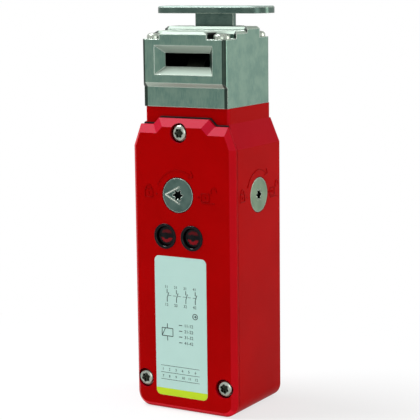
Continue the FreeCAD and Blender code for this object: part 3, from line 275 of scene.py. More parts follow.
def make_red_paint(name, bevels, painted_edge_share, painted_edge_tone):
    """Baked paint; bevels is how much they catch the light, painted_edge_tone the colour painted on
    edges as their light and shade.
    """
    shade = Shade(name)
    cloud = shade.noise(per_metre=34, detail=4)
    speck = shade.noise(per_metre=1500, detail=2).ramp(0.735, 0.775)
    scuff = shade.noise(per_metre=260, detail=5, stretch=(1, 1, 0.12)).ramp(0.70, 0.80)
    lean = shade.facing("Z")
    # Painted highlights: paler reds on bevels that lean up, on those that face down at the front,
    # and on upright bevels that slant between front and side.
    forward = (0.0 - shade.facing("Y")).ramp(0.3, 0.6)
    rising_highlight = lean.ramp(0.20, 0.36) * (0.14 + forward * 0.44)
    under = (0.0 - lean).ramp(0.3, 0.5) * forward
    turning_highlight = (shade.facing("X") * shade.facing("Y")).size().ramp(0.25, 0.45)
    red = shade.mix(cloud.ramp(0.3, 0.7), colour(158, 0, 0), colour(168, 0, 1))
    rise_highlighted = shade.mix(rising_highlight * bevels, red, colour(214, 16, 66))
    bevels_highlighted = shade.mix((turning_highlight * 0.38 + under * 0.9) * bevels, rise_highlighted, colour(214, 26, 42))
    # Painted edge light and shade: edges mix towards painted_edge_tone, a highlight on the body and
    # a shadow outline on the marks.
    edged = shade.mix(shade.edge(mm(0.45)) * painted_edge_share, bevels_highlighted, painted_edge_tone)
    dusty = shade.mix(speck * 0.22, edged, colour(200, 80, 80))
    rubbed = shade.mix(scuff * 0.12, dusty, colour(190, 30, 34))
    # Painted shade: darker in narrow gaps that ambient occlusion finds, and a painted shadow line
    # round each plug.
    off_the_floor = shade.axis("Z").ramp(mm(3.0), mm(5.0))
    painted_shade = shade.shut_in(mm(1.6)).ramp(0.45, 0.85) * off_the_floor
    gap_shadows = plug_gap_shadow(shade, "XZ", release_low, release_high) + plug_gap_shadow(
        shade, "YZ", side_low, side_high)
    gap_shaded = shade.mix(painted_shade * 0.9 + gap_shadows * 0.75, rubbed, colour(26, 0, 3))
    peel = shade.noise(per_metre=820, detail=2)
    grit = shade.noise(per_metre=5200, detail=2)
    skin = shade.bump(peel + grit * 0.25, mm(0.05), 0.30, shade.rounded(mm(0.35)))
    rough = 0.30 + shade.noise(per_metre=90, detail=4) * 0.12 + scuff * 0.1
    return shade.finish(Base_Color=gap_shaded, Roughness=rough, Specular_IOR_Level=0.02,
                        Coat_Weight=lean.ramp(0.2, 0.5) * forward * (0.85 * bevels),
                        Coat_Roughness=0.22, Normal=skin)


red_paint = make_red_paint("red_paint", 1.0, 0.35, colour(214, 26, 48))
# The marks get dark painted shadow outlines in place of painted highlights on their edges.
plain_red = make_red_paint("plain_red", 0.0, 0.5, colour(104, 0, 2))
print("made", red_paint.name, "and", plain_red.name)

# %% [markdown]
# ## Steel
# Several steels sit side by side on this switch: the blasted head, the ground tongue, zinc-plated
# screws and spring wire. They differ in their grain. One function makes them all: its grain is a
# noise stretched along one axis, which turns round spots into lines. Faces that look down are
# lit by the pale floor on the real thing, and a blasted face shows that more than a mirror
# would, so they are a little less metallic and painted paler, a painted reflection of the floor.
# Level faces are rougher and are painted a colour of their own for the lamp above them, and
# sharp edges are painted bright as a painted highlight.

# %% Steels
def make_steel(name, tone, bright, grain=(1, 1, 1), per_metre=2600, rough=0.34, relief=0.02,
               edge_radius=0.4, painted_edge_share=0.6, mottling=0.35, corner=None,
               hollow=None, top=None):
    """A metal with a directional grain, soft mottling and edges painted brighter as highlights.

    corner and hollow tell where dark reflection and shade are painted, and top is the colour
    painted on its level faces for the light on them.
    """
    shade = Shade(name)
    mottle = shade.noise(per_metre=150, detail=5)
    lines = shade.noise(per_metre, detail=3, stretch=grain, rough=0.6)
    body = shade.mix(mottle.ramp(0.35, 0.65) * mottling, tone, bright)
    surface = shade.mix(lines.ramp(0.35, 0.75) * 0.35, body, bright)
    lean = shade.facing("Z")
    level = lean.ramp(0.4, 0.8) if top else 0.0
    # Painted light: level faces are mixed towards the top colour.
    if top:
        surface = shade.mix(level * 0.8, surface, top)
    # Painted reflection of the pale floor on faces that look down.
    under = (0.0 - lean).ramp(0.3, 0.6)
    surface = shade.mix(under * 0.5, surface, colour(214, 222, 208))
    # Painted highlight on sharp edges.
    rim = shade.edge(mm(edge_radius))
    surface = shade.mix(rim * painted_edge_share, surface, colour(226, 234, 222))
    # Painted dark reflection on the head's corner chamfers.
    if corner:
        surface = shade.mix(corner(shade) * 0.85, surface, colour(22, 28, 24))
    # Painted shade in the head's hollow.
    if hollow:
        surface = shade.mix(hollow(shade), surface, colour(9, 11, 10))
    normal = shade.bump(lines, mm(relief), 0.5, shade.rounded(mm(edge_radius * 0.7)))
    roughness = level * 0.25 + rough + (lines - 0.5) * 0.22 + (mottle - 0.5) * 0.12
    return shade.finish(Base_Color=surface, Roughness=roughness, Normal=normal,
                        Specular_IOR_Level=0.25,
                        Metallic=1.0 - rim * 0.4 - under * 0.5 - level * 0.6)


print("steel recipe ready")

# %% [markdown]
# ## Dark places of the head
# Two slots open into the head's hollow, whose metal is painted nearly black as painted shade, and
# the chamfers on its upright corners are painted dark as a painted reflection. Both are masks made
# from the place and the direction of the surface. The limits follow the box of the head, so they
# stay on it.

# %% Masks for the head
head_low, head_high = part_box("head_casting")
hollow_side = mm(11.0)
hollow_roof = head_high.z - mm(2.0)
hollow_front = head_low.y + mm(3.9)
hollow_back = head_high.y - mm(3.0)
corner_start = head_high.x - mm(1.7)


def past(wire, limit, soft=mm(0.2)):
    """0 short of the limit and 1 past it, with a soft step between."""
    return wire.ramp(limit - soft, limit + soft)


def hollow_shade(shade):
    """1 in the hollow behind the head's two slots, where painted shade darkens it, and 0 on the
    outside.
    """
    deep = shade.axis("Y")
    beside = past(shade.axis("X").size(), hollow_side)
    above = past(shade.axis("Z"), hollow_roof)
    return (1.0 - beside) * (1.0 - above) * past(deep, hollow_front, mm(0.3)) * (
        1.0 - past(deep, hollow_back))


def dark_corner_reflection(shade):
    """1 on the chamfers of the head's four upright corners, where a dark reflection is painted."""
    wide = shade.axis("X").size()
    return wide.ramp(corner_start, corner_start + mm(0.3)) * (
        shade.facing("Y").size().ramp(0.25, 0.45))


print("head from", round(head_low.z * 1000, 1), "to", round(head_high.z * 1000, 1), "mm")

# %% [markdown]
# ## Seven metals
# The head is blasted, with a faint upright grain, and the tongue is ground along its plate.
# Screws and springs are smoother. The oiled steel of the cam wheel is nearly black, and the same
# steel lines the screws' recesses as painted shade. The bright one is a painted highlight in the
# cuts that mark the front plug.

# %% Metals
cast_steel = make_steel(
    "cast_steel", colour(88, 117, 107), colour(128, 150, 134), grain=(1, 1, 0.14),
    per_metre=2600, rough=0.38, relief=0.03, edge_radius=0.6, painted_edge_share=0.75,
    corner=dark_corner_reflection, hollow=hollow_shade, top=colour(176, 188, 176))
tongue_steel = make_steel(
    "tongue_steel", colour(60, 80, 74), colour(96, 114, 104), grain=(0.2, 1, 1),
    per_metre=3000, rough=0.30, relief=0.012, edge_radius=0.45, painted_edge_share=0.6,
    top=colour(150, 168, 160))
zinc_steel = make_steel(
    "zinc_steel", colour(128, 138, 128), colour(206, 212, 200),
    per_metre=1600, rough=0.26, relief=0.008, edge_radius=0.25, painted_edge_share=0.4)
painted_glint_steel = make_steel(
    "painted_glint_steel", colour(226, 232, 216), colour(246, 250, 238),
    per_metre=1600, rough=0.45, relief=0.004, edge_radius=0.6, painted_edge_share=0.9)
oiled_and_shaded_steel = make_steel(
    "oiled_and_shaded_steel", colour(28, 32, 26), colour(70, 76, 64),
    per_metre=1200, rough=0.42, relief=0.008, edge_radius=0.2, painted_edge_share=0.1)
spring_steel = make_steel(
    "spring_steel", colour(120, 124, 126), colour(190, 194, 196), grain=(1, 1, 0.3),
    per_metre=2200, rough=0.28, relief=0.008, edge_radius=0.2, painted_edge_share=0.3)
bronze = make_steel(
    "bronze", colour(158, 112, 58), colour(206, 160, 96),
    per_metre=900, rough=0.36, relief=0.01, edge_radius=0.2, painted_edge_share=0.2)
print("made seven metals")

# %% [markdown]
# ## Turned plugs
# The two release plugs were faced on a lathe, which leaves fine rings around their middle. The
# distance from that middle is worked out from object coordinates, and a sine of the distance
# gives the rings. A slow noise bends them a little, as a real cutter does.

# %% Turned steel
ring_pitch = mm(0.62)
key_radius = mm(3.0)


def make_turned(name, centre, across, inward, face, tone, bright):
    """A faced disc; across names the two axes in its face and inward the one behind it.

    face is where the disc's face lies along inward, and the key recess behind it is painted dark as
    painted shade.
    """
    shade = Shade(name)
    reach = shade.from_line(across, centre)
    drift = shade.noise(per_metre=400, detail=2)
    turns = (reach + drift * mm(0.12)) * (2 * math.pi / ring_pitch)
    rings = turns.sine() * 0.5 + 0.5
    mottle = shade.noise(per_metre=240, detail=4)
    body = shade.mix(mottle.ramp(0.3, 0.7) * 0.6, tone, bright)
    faced = shade.mix(rings * 0.4, body, bright)
    rim = shade.edge(mm(0.5))
    lit = shade.mix(rim * 0.85, faced, colour(214, 224, 212))
    # Painted shade in the key recess.
    deep = (shade.axis(inward) - face).size().ramp(mm(0.3), mm(0.7))
    inside = 1.0 - reach.ramp(key_radius, key_radius + mm(0.3))
    recess_shaded = shade.mix(deep * inside, lit, colour(10, 12, 12))
    return shade.finish(Base_Color=recess_shaded, Roughness=0.32 + rings * 0.12, Metallic=1.0 - rim * 0.3,
                        Normal=shade.bump(rings, mm(0.02), 0.5, shade.rounded(mm(0.25))))


# The plugs are one steel, given two tones as lit and shaded copies: lighter and yellower on the
# side, darker in front.
front_plug_steel = make_turned("front_plug_steel", front_release_centre, "XZ", "Y",
                               release_low.y, colour(60, 81, 76), colour(94, 115, 107))
side_plug_steel = make_turned("side_plug_steel", side_release_centre, "YZ", "X",
                              side_high.x, colour(86, 108, 88), colour(124, 143, 120))
print("made two turned steels")

# %% [markdown]
# ## Copper winding
# The coil is hundreds of turns of enamelled wire, about a third of a millimetre thick. Modelling
# them would cost much and show little, so a wave along Z gives each turn its shadow and relief.

# %% Copper
wire_pitch = mm(0.34)


def make_copper():
    shade = Shade("copper")
    turns = shade.axis("Z") * (2 * math.pi / wire_pitch)
    height = turns.sine() * 0.5 + 0.5
    warm = shade.mix(shade.noise(per_metre=300), colour(150, 74, 34), colour(204, 112, 62))
    wound = shade.mix(height, colour(84, 36, 18), warm)
    normal = shade.bump(height, mm(0.12), 0.8)
    return shade.finish(Base_Color=wound, Roughness=0.3 + shade.noise(900) * 0.1,
                        Metallic=0.9, Normal=normal)


copper = make_copper()
print("made", copper.name)

# %% [markdown]
# ## Plastics, rubber and ink
# Moulded parts carry the spark-eroded skin of their mould. That is a fine noise in the bump,
# with a slow cloud in the colour so that no face is one flat tone. Dried ink is much the same.

# %% Plastics, rubber and ink
def make_moulded(name, dark, light, rough, per_metre=2400, relief=0.03, gloss=0.4,
                 painted_edge_tone=None):
    """A moulded surface: fine skin, slow clouds and softly rounded edges."""
    shade = Shade(name)
    cloud = shade.noise(per_metre=60, detail=4)
    skin = shade.noise(per_metre)
    tint = shade.mix(cloud.ramp(0.3, 0.7), dark, light)
    # Edges are mixed a quarter towards a paler tone; on the gloss black sleeve it is a painted
    # reflection.
    edged = shade.mix(shade.edge(mm(0.25)) * 0.25, tint, painted_edge_tone or light)
    normal = shade.bump(skin, mm(relief), 0.5, shade.rounded(mm(0.2)))
    return shade.finish(Base_Color=edged, Roughness=rough + (skin - 0.5) * 0.16,
                        Specular_IOR_Level=gloss, Normal=normal)


black_plastic = make_moulded("black_plastic", colour(24, 24, 26), colour(44, 44, 47), 0.46)
# The sleeve's lip edges take a pale blue-grey, a painted reflection.
gloss_black = make_moulded("gloss_black", colour(2, 2, 3), colour(6, 6, 8), 0.12, per_metre=500,
                           relief=0.004, gloss=0.14, painted_edge_tone=colour(104, 106, 122))
grey_plastic = make_moulded("grey_plastic", colour(112, 116, 118), colour(146, 150, 150), 0.5)
rubber = make_moulded("rubber", colour(7, 7, 8), colour(18, 18, 19), 0.66, per_metre=1800,
                      relief=0.04, gloss=0.2)
board_green = make_moulded("board_green", colour(14, 68, 38), colour(28, 104, 58), 0.34,
                           per_metre=900, relief=0.01)
ink = make_moulded("ink", colour(14, 24, 24), colour(30, 42, 42), 0.5, per_metre=1500,
                   relief=0.004, gloss=0.3)
print("made six mouldings")

# %% [markdown]
# ## Lamps and lenses
# The two indicators are unlit. Behind a smoky window sits a deep red lamp, whose reflections show
# as two dark red crescents. A clear window would need many light paths, so the crescents are
# painted reflections in the window's own colour: rings around each lamp's middle, faded towards
# the sides.

# %% Lamp and lens
bezel_low, bezel_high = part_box("led_bezels")
lamp_centre_x = (bezel_low.x + bezel_high.x) / 2
lamp_centre_z = (bezel_low.z + bezel_high.z) / 2
lamp_half_spacing = (bezel_high.x - bezel_low.x - (bezel_high.z - bezel_low.z)) / 2
print("lamps", round(lamp_half_spacing * 2000, 2), "mm apart")


def make_lamp_red():
    shade = Shade("lamp_red")
    depth = shade.noise(per_metre=420)
    red = shade.mix(depth.ramp(0.3, 0.7), colour(112, 0, 10), colour(168, 10, 24))
    return shade.finish(Base_Color=red, Roughness=0.12 + depth * 0.08, Coat_Weight=0.6,
                        Normal=shade.bump(shade.noise(700), mm(0.01), 0.3))


def make_lens():
    shade = Shade("clear_lens")
    ripple = shade.noise(per_metre=900, detail=2)
    aside = (shade.axis("X") - lamp_centre_x).size() - lamp_half_spacing
    above = shade.axis("Z") - lamp_centre_z
    reach = (aside * aside + above * above).root() + (ripple - 0.5) * mm(1.2)
    # Painted reflections: two dark red crescents round each lamp's middle.
    band = reach.ramp(mm(1.1), mm(1.7)) * (1.0 - reach.ramp(mm(2.5), mm(3.1)))
    low = band * (0.0 - above).ramp(mm(0.4), mm(1.2))
    high = band * above.ramp(mm(0.8), mm(1.8)) * 0.45
    cloud = shade.noise(per_metre=500).ramp(0.4, 0.7)
    smoke = shade.mix(cloud, colour(3, 4, 6), colour(12, 11, 15))
    painted_crescents = shade.mix(low + high, smoke, colour(136, 0, 16))
    normal = shade.bump(ripple, mm(0.02), 0.25)
    return shade.finish(Base_Color=painted_crescents, Roughness=0.08 + ripple * 0.06,
                        Specular_IOR_Level=0.10, Normal=normal)


lamp_red = make_lamp_red()
clear_lens = make_lens()
print("made", lamp_red.name, "and", clear_lens.name)

# %% [markdown]
# ## Label film
# The rating plate is a matt polyester film, pale mint, with a yellow-green band along its foot.
# The band follows the height above the floor, so it is read from the Z of the object.

# %% Label film
band_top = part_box("rating_label")[0].z + mm(3.1)


def make_label_film():
    shade = Shade("label_film")
    grain = shade.noise(per_metre=2600, detail=2)
    cloud = shade.noise(per_metre=70)
    mint = shade.mix(cloud, colour(176, 212, 202), colour(186, 219, 210))
    lime = shade.mix(cloud, colour(182, 212, 0), colour(192, 220, 8))
    low = 1.0 - shade.axis("Z").ramp(band_top - mm(0.03), band_top + mm(0.03))
    film = shade.mix(low, mint, lime)
    edged = shade.mix(shade.edge(mm(0.15)) * 0.5, film, colour(228, 240, 234))
    return shade.finish(Base_Color=edged, Roughness=0.42 + grain * 0.1,
                        Specular_IOR_Level=0.35, Normal=shade.bump(grain, mm(0.01), 0.3))


label_film = make_label_film()
print("band ends at", round(band_top * 1000, 2), "mm")

# %% [markdown]
# ## Give each CAD piece its finish
# The record of the part says which finish each piece takes, and a few pieces have one of their
# own. Only the material slots change: the meshes stay as the CAD made them.

# %% Hand out the finishes
finishes = {
    "red_paint": red_paint, "cast_steel": cast_steel, "bright_steel": tongue_steel,
    "zinc_steel": zinc_steel, "spring_steel": spring_steel, "bronze": bronze,
    "copper": copper, "rubber": rubber, "black_plastic": black_plastic,
    "gloss_black": gloss_black, "grey_plastic": grey_plastic, "board_green": board_green,
    "lamp_red": lamp_red, "clear_lens": clear_lens, "label_film": label_film}
own_finish = {"front_release": front_plug_steel, "side_release": side_plug_steel,
              "cam_wheel": oiled_and_shaded_steel, "cam_washers": oiled_and_shaded_steel}
for part in frame["record"]["subparts"]:
    mesh = nodes[part["node"]].data
    mesh.materials.clear()
    mesh.materials.append(own_finish.get(part["node"], finishes[part["material_slot"]]))

# %% [markdown]
# ## Making a piece
# Every new piece goes the same way: a bmesh is shaped with operators, its doubles are merged
# and its faces turned outwards, and then it becomes a mesh that rides on one CAD body.

# %% From bmesh to a riding piece
def as_object(name, bm, *finishes):
    """A bmesh as an object at the origin, with its finishes in its slots."""
    mesh = bpy.data.meshes.new(name)
    bm.to_mesh(mesh)
    bm.free()
    for finish in finishes:
        mesh.materials.append(finish)
    made = bpy.data.objects.new(name, mesh)
    bpy.context.scene.collection.objects.link(made)
    return made


def make_piece(name, bm, finishes, body="switch_body", smooth=35):
    """A finished piece that rides on one body, smooth but for edges over smooth degrees."""
    bmesh.ops.remove_doubles(bm, verts=bm.verts, dist=1e-6)
    bmesh.ops.recalc_face_normals(bm, faces=bm.faces)
    piece = as_object(name, bm, *finishes)
    faces = piece.data.polygons
    faces.foreach_set("use_smooth", [True] * len(faces))
    piece.data.set_sharp_from_angle(angle=math.radians(smooth))
    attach(piece, body)
    print(name, len(faces), "faces")
    return piece


print("pieces can be made")

# %% [markdown]
# ## Bits and places
# Most pieces here are put together from small bits that are drawn flat and then laid on a wall.
# One helper moves a bit by a matrix and adds it to the piece. The other gives the matrix for
# each wall, so that x is to the right, y is up and z comes out of the wall.

# %% Adding bits and finding walls
def add(bm, bit, place):
    """Move a small bmesh by a matrix, add it to a larger one and free it."""
    bmesh.ops.transform(bit, matrix=place, verts=bit.verts)
    mesh = bpy.data.meshes.new("bit")
    bit.to_mesh(mesh)
    bit.free()
    bm.from_mesh(mesh)
    bpy.data.meshes.remove(mesh)


def onto(centre, facing):
    """Matrix that lays a flat drawing (x right, y up, z out) on a wall of the body."""
    turns = {"front": Matrix(((1, 0, 0), (0, 0, -1), (0, 1, 0))),
             "side": Matrix(((0, 0, 1), (1, 0, 0), (0, 1, 0))),
             "top": Matrix.Identity(3),
             "under": Matrix(((1, 0, 0), (0, -1, 0), (0, 0, -1)))}
    return Matrix.Translation(centre) @ turns[facing].to_4x4()


print("bits can be laid on walls")

# %% [markdown]
# ## Turned shapes with lobes
# A screw head is a stack of rings. Each ring is a circle with its own radius and height, and a
# share by which it is pinched in six places for the driver. Bridging each ring to the next
# makes the skin. A lathe could not make the lobes, which is why rings are used here.

# %% Stack of rings
def stack(bm, place, rings, segments=48, dark_from=None, hollow=False):
    """Skin through rings of (radius, height, pinch) in millimetres, laid at a place.

    It is closed at both ends, or joined end to end where it is hollow. From ring number
    dark_from on, its faces take the piece's second finish.
    """
    bit = bmesh.new()
    loops = []
    for radius, height, pinch in rings:
        circle = bmesh.ops.create_circle(bit, segments=segments, radius=mm(radius))["verts"]
        bmesh.ops.translate(bit, vec=(0, 0, mm(height)), verts=circle)
        for vert in circle:
            angle = math.atan2(vert.co.y, vert.co.x)
            share = 1 - pinch * (0.5 - 0.5 * math.cos(6 * angle)) ** 0.8
            vert.co.x *= share
            vert.co.y *= share
        loops.append(list(dict.fromkeys(edge for vert in circle for edge in vert.link_edges)))
    pairs = list(zip(loops, loops[1:]))
    if hollow:
        pairs.append((loops[-1], loops[0]))
    for number, (near, far) in enumerate(pairs):
        made = bmesh.ops.bridge_loops(bit, edges=near + far)["faces"]
        for face in made:
            face.material_index = int(dark_from is not None and number >= dark_from)
    if not hollow:
        for index, ends in enumerate((loops[0], loops[-1])):
            for face in bmesh.ops.contextual_create(bit, geom=ends)["faces"]:
                face.material_index = int(dark_from is not None and index == 1)
    add(bm, bit, place)


print("rings can be stacked")

# %% [markdown]
# ## A pan-head screw
# From its tip to its dome and down into its recess, this screw is one stack of rings. The last
# five shape the recess with its six lobes, and take the second finish, which is dark as painted
# shade.

# %% Pan head
def pan_head(bm, place, head=3.5, height=2.4, drive=2.0, shank=2.0, length=9.0):
    """Pan-head screw with a six-lobed recess, head up, at its seat, sizes in millimetres."""
    crown = height - 0.1
    rings = [(shank * 0.7, -length, 0), (shank, -length + 0.8, 0), (shank, -0.05, 0),
             (shank + 0.05, 0, 0), (head - 0.12, 0, 0), (head, 0.12, 0), (head, height * 0.42, 0),
             (head * 0.97, height * 0.58, 0), (head * 0.88, height * 0.77, 0),
             (head * 0.76, height * 0.90, 0), (head * 0.66, crown - 0.02, 0),
             (drive + 0.14, crown, 0.20), (drive, crown - 0.10, 0.36),
             (drive * 0.97, crown - 1.35, 0.36), (drive * 0.62, crown - 1.6, 0.2),
             (drive * 0.1, crown - 1.72, 0)]
    stack(bm, place, rings, dark_from=11)


print("screw maker ready")

# %% [markdown]
# ## Screws
# The three cover screws and the four head screws are pan heads with a six-lobed recess, as
# tamper-resistant guards use. The CAD screws are plainer, so these pieces stand in for them.
# Their places are read from the CAD screws: each island of triangles is one screw. The islands
# are sorted, so that the same screw comes first in every run.

# %% Where the separate solids are
def islands(node):
    """Low and high corner of each separate solid in a CAD node, sorted by z, x and y."""
    copy = bmesh.new()
    copy.from_mesh(nodes[node].data)
    bmesh.ops.remove_doubles(copy, verts=copy.verts, dist=1e-6)
    waiting = set(copy.verts)
    found = []
    while waiting:
        reached = {waiting.pop()}
        to_visit = list(reached)
        while to_visit:
            vert = to_visit.pop()
            for link in vert.link_edges:
                other = link.other_vert(vert)
                if other not in reached:
                    reached.add(other)
                    to_visit.append(other)
        waiting -= reached
        lows = Vector([min(v.co[i] for v in reached) for i in range(3)])
        highs = Vector([max(v.co[i] for v in reached) for i in range(3)])
        found.append((lows, highs))
    copy.free()
    return sorted(found, key=lambda pair: [round(pair[0][i], 4) for i in (2, 0, 1)])


print("cover screws found:", len(islands("cover_screws")))

# %% [markdown]
# ## Driving the screws
# No two driven screws stop at the same angle, so each is turned by its own amount. The cover's
# screws go in along y and the head's along z, so the seat is worked out in two ways.

# %% Screws on the cover and the head
screw_height = mm(2.4)


def make_screws(name, node, facing, first_turn, turn_step, shank):
    """A pan-head screw over each CAD screw; each is turned differently, in degrees."""
    bm = bmesh.new()
    for number, (low, high) in enumerate(islands(node)):
        seat = (low + high) / 2
        if facing == "front":
            seat.y = low.y + screw_height
            length = high.y - seat.y
        else:
            seat.z = high.z - screw_height
            length = seat.z - low.z
        turn = Matrix.Rotation(math.radians(first_turn + turn_step * number), 4, "Z")
        pan_head(bm, onto(seat, facing) @ turn, shank=shank, length=length * 1000)
    return make_piece(name, bm, [zinc_steel, oiled_and_shaded_steel])


cover_screws = make_screws("cover_pan_screws", "cover_screws", "front", 17, 23, shank=2.0)
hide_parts("cover_screws")
head_screws = make_screws("head_pan_screws", "head_screws", "top", 8, 19, shank=1.6)
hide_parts("head_screws")

# %% [markdown]
# ## Bars and part rings
# The marks in the casting and the print on the label are both made of thin bars and part rings.
# A bar is a cube that is scaled, bevelled along its top and turned about its own middle. A part
# ring is a small profile, spun about an axis.

# %% Bars and rings
def strip(bm, place, low, high, height, lean=0, bevel=0.0, sunk=0.05):
    """Low bar between two flat corners in millimetres, leaned about its own middle."""
    bit = bmesh.new()
    verts = bmesh.ops.create_cube(bit, size=1)["verts"]
    size = mm(high[0] - low[0], high[1] - low[1], height + sunk)
    bmesh.ops.scale(bit, vec=size, verts=verts)
    if bevel:
        top = [edge for edge in bit.edges if all(vert.co.z > 0 for vert in edge.verts)]
        bmesh.ops.bevel(bit, geom=top, offset=mm(bevel), segments=1, profile=0.5,
                        affect="EDGES", material=-1)
    middle = mm((low[0] + high[0]) / 2, (low[1] + high[1]) / 2, (height - sunk) / 2)
    add(bm, bit, place @ Matrix.Translation(middle)
        @ Matrix.Rotation(math.radians(lean), 4, "Z"))


def bar(bm, place, start, end, width, height, bevel=0.0, sunk=0.05):
    """Low bar along the line between two flat points, in millimetres."""
    across, up = end[0] - start[0], end[1] - start[1]
    length = math.hypot(across, up)
    left = (start[0] + end[0] - length) / 2
    foot = (start[1] + end[1] - width) / 2
    strip(bm, place, (left, foot), (left + length, foot + width), height,
          math.degrees(math.atan2(up, across)), bevel, sunk)


def arc_strip(bm, place, centre, radius, start, end, height, width, sunk=0.05):
    """Low ring, or a part of one, made by spinning a small bevelled profile."""
    bit = bmesh.new()
    half = width / 2
    profile = [mm(radius + side * half, 0, level) for side, level in
               ((-1, -sunk), (1, -sunk), (1, height * 0.7), (0.45, height), (-0.45, height),
                (-1, height * 0.7))]
    verts = [bit.verts.new(point) for point in profile]
    face = bit.faces.new(verts)
    bmesh.ops.rotate(bit, verts=verts, cent=(0, 0, 0),
                     matrix=Matrix.Rotation(math.radians(start), 3, "Z"))
    whole = abs(end - start) >= 360
    outline = list(face.edges) + verts
    if whole:
        bit.faces.remove(face)
    else:
        outline.insert(0, face)
    bmesh.ops.spin(bit, geom=outline, cent=(0, 0, 0), axis=(0, 0, 1), dvec=(0, 0, 0),
                   angle=math.radians(end - start), steps=max(6, int(abs(end - start) / 6)),
                   use_duplicate=False, use_merge=whole)
    add(bm, bit, place @ Matrix.Translation(mm(centre[0], centre[1], 0)))


print("bars and rings can be drawn")

# %% [markdown]
# ## Lock marks in the casting
# Around each release plug the mould leaves raised marks: a closed padlock on the left, an open
# one on the right, and a curved arrow over the plug. They have the paint's own colour and only
# their edges show. They are drawn flat as thin bars and part rings, then laid on the wall.

# %% Lock marks
mark_height = 0.25
mark_width = 0.42


def mark(bm, place, low, high, lean=0):
    strip(bm, place, low, high, mark_height, lean, bevel=0.09)


def part_ring(bm, place, centre, radius, start, end):
    arc_strip(bm, place, centre, radius, start, end, mark_height, mark_width)


def padlock(bm, place, x, y, is_open):
    """Padlock outline: a square body, a keyhole dot and a shackle, shut or swung aside."""
    half_w, half_h, bow, half_line = 1.9, 1.6, 1.25, mark_width / 2
    for side in (-1, 1):
        wall_x, wall_y = x + side * half_w, y + side * half_h
        mark(bm, place, (x - half_w, wall_y - half_line), (x + half_w, wall_y + half_line))
        mark(bm, place, (wall_x - half_line, y - half_h), (wall_x + half_line, y + half_h))
    mark(bm, place, (x - 0.3, y - 0.5), (x + 0.3, y + 0.5))
    bow_x = x + (4.1 if is_open else 0)
    top = y + half_h + (1.5 if is_open else 0.7)
    for side in (-1, 1):
        low = y + half_h if side < 0 or not is_open else top - 0.6
        leg_x = bow_x + side * bow
        mark(bm, place, (leg_x - half_line, low), (leg_x + half_line, top))
    part_ring(bm, place, (bow_x, top), bow, 0, 180)


def make_lock_marks(name, centre, facing, right_x):
    """Both padlocks, the dotted link to the plug and the arrow over it."""
    bm = bmesh.new()
    place = onto(centre, facing)
    padlock(bm, place, -14.2, 0.3, False)
    padlock(bm, place, right_x, -0.1, True)
    mark(bm, place, (-10.6, -0.2), (-10.0, 0.2))
    mark(bm, place, (right_x - 3.8, -0.2), (right_x - 2.8, 0.2))
    mark(bm, place, (right_x - 1.8, -2.6), (right_x + 4.6, -2.3))
    part_ring(bm, place, (0, 0), 10.5, 56, 158)
    mark(bm, place, (6.7, 8.2), (7.1, 10.6), 28)
    mark(bm, place, (4.9, 7.7), (7.4, 8.1), 5)
    return make_piece(name, bm, [plain_red])


front_wall = Vector((front_release_centre.x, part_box("cover")[0].y, front_release_centre.z))
side_wall = Vector((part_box("housing")[1].x, side_release_centre.y, side_release_centre.z))
make_lock_marks("front_lock_marks", front_wall, "front", 13.2)
make_lock_marks("side_lock_marks", side_wall, "side", 11.6)

# %% [markdown]
# ## Pointer on the front plug
# Two cuts in the plug's face meet in a point that shows whether it is locked. Their walls shine,
# so a thin bright bar lies in each cut as a painted highlight. They turn with the plug.

# %% Pointer lines
def make_pointer(tip=6.0, length=7.0, half_angle=27.5):
    """Two bright bars from one tip as painted highlights, in millimetres from the plug's middle,
    and degrees.
    """
    bm = bmesh.new()
    for angle in (math.radians(-half_angle), math.radians(half_angle)):
        end = (-tip + math.cos(angle) * length, math.sin(angle) * length)
        bar(bm, onto(front_wall, "front"), (-tip, 0), end, 0.24, 0.06, bevel=0.04, sunk=0.2)
    return make_piece("plug_pointer", bm, [painted_glint_steel], "front_release_body")


make_pointer()

# %% [markdown]
# ## Indicator lenses and their sleeves
# Each window is a moulded lens with a groove around a low dome, in a black sleeve whose lip
# stands a little proud of the cover. Both are stacks of rings about the lamp's axis, which keeps
# them true. The sleeve is hollow, so its last ring is joined to its first.

# %% Indicator lenses and their sleeves
def make_lenses():
    """Domed windows in the place of the CAD's flat ones."""
    bm = bmesh.new()
    for low, high in islands("led_lenses"):
        centre = (low + high) / 2
        radius = (high.x - low.x) * 500 - 0.02
        back = (high.y - centre.y) * 1000
        rings = [(radius, -back, 0), (radius, 0.15, 0), (radius - 0.3, 0.32, 0),
                 (radius - 0.8, 0.28, 0), (radius - 1.0, 0.12, 0), (2.4, 0.2, 0), (1.7, 0.34, 0),
                 (0.9, 0.44, 0), (0.2, 0.48, 0)]
        stack(bm, onto(centre, "front"), rings, 40)
    piece = make_piece("indicator_lenses", bm, [clear_lens])
    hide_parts("led_lenses")


def make_bezels():
    """Black sleeves with a rounded lip, and a bore that the lenses sit in."""
    bm = bmesh.new()
    for low, high in islands("led_bezels"):
        radius = (high.x - low.x) * 500 - 0.02
        bore = radius - 1.28
        depth = (high.y - low.y) * 1000
        rings = [(bore, -depth, 0), (radius, -depth, 0), (radius, 0.08, 0), (radius - 0.1, 0.26, 0),
                 (radius - 0.35, 0.38, 0), (radius - 0.7, 0.36, 0), (radius - 1.0, 0.16, 0),
                 (bore + 0.04, -0.2, 0), (bore, -0.5, 0)]
        centre = Vector(((low.x + high.x) / 2, low.y, (low.z + high.z) / 2))
        stack(bm, onto(centre, "front"), rings, 56, hollow=True)
    piece = make_piece("indicator_rings", bm, [gloss_black])
    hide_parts("led_bezels")


make_lenses()
make_bezels()

# %% [markdown]
# ## Springs
# Inside, one spring holds the rod up and another pushes the solenoid's plunger out. Each stands
# on a fixed seat and gets shorter when its joint moves. A circle of wire is spun round the
# spring's axis while it climbs. The joint's travel is read, but the coil is not shortened by it.

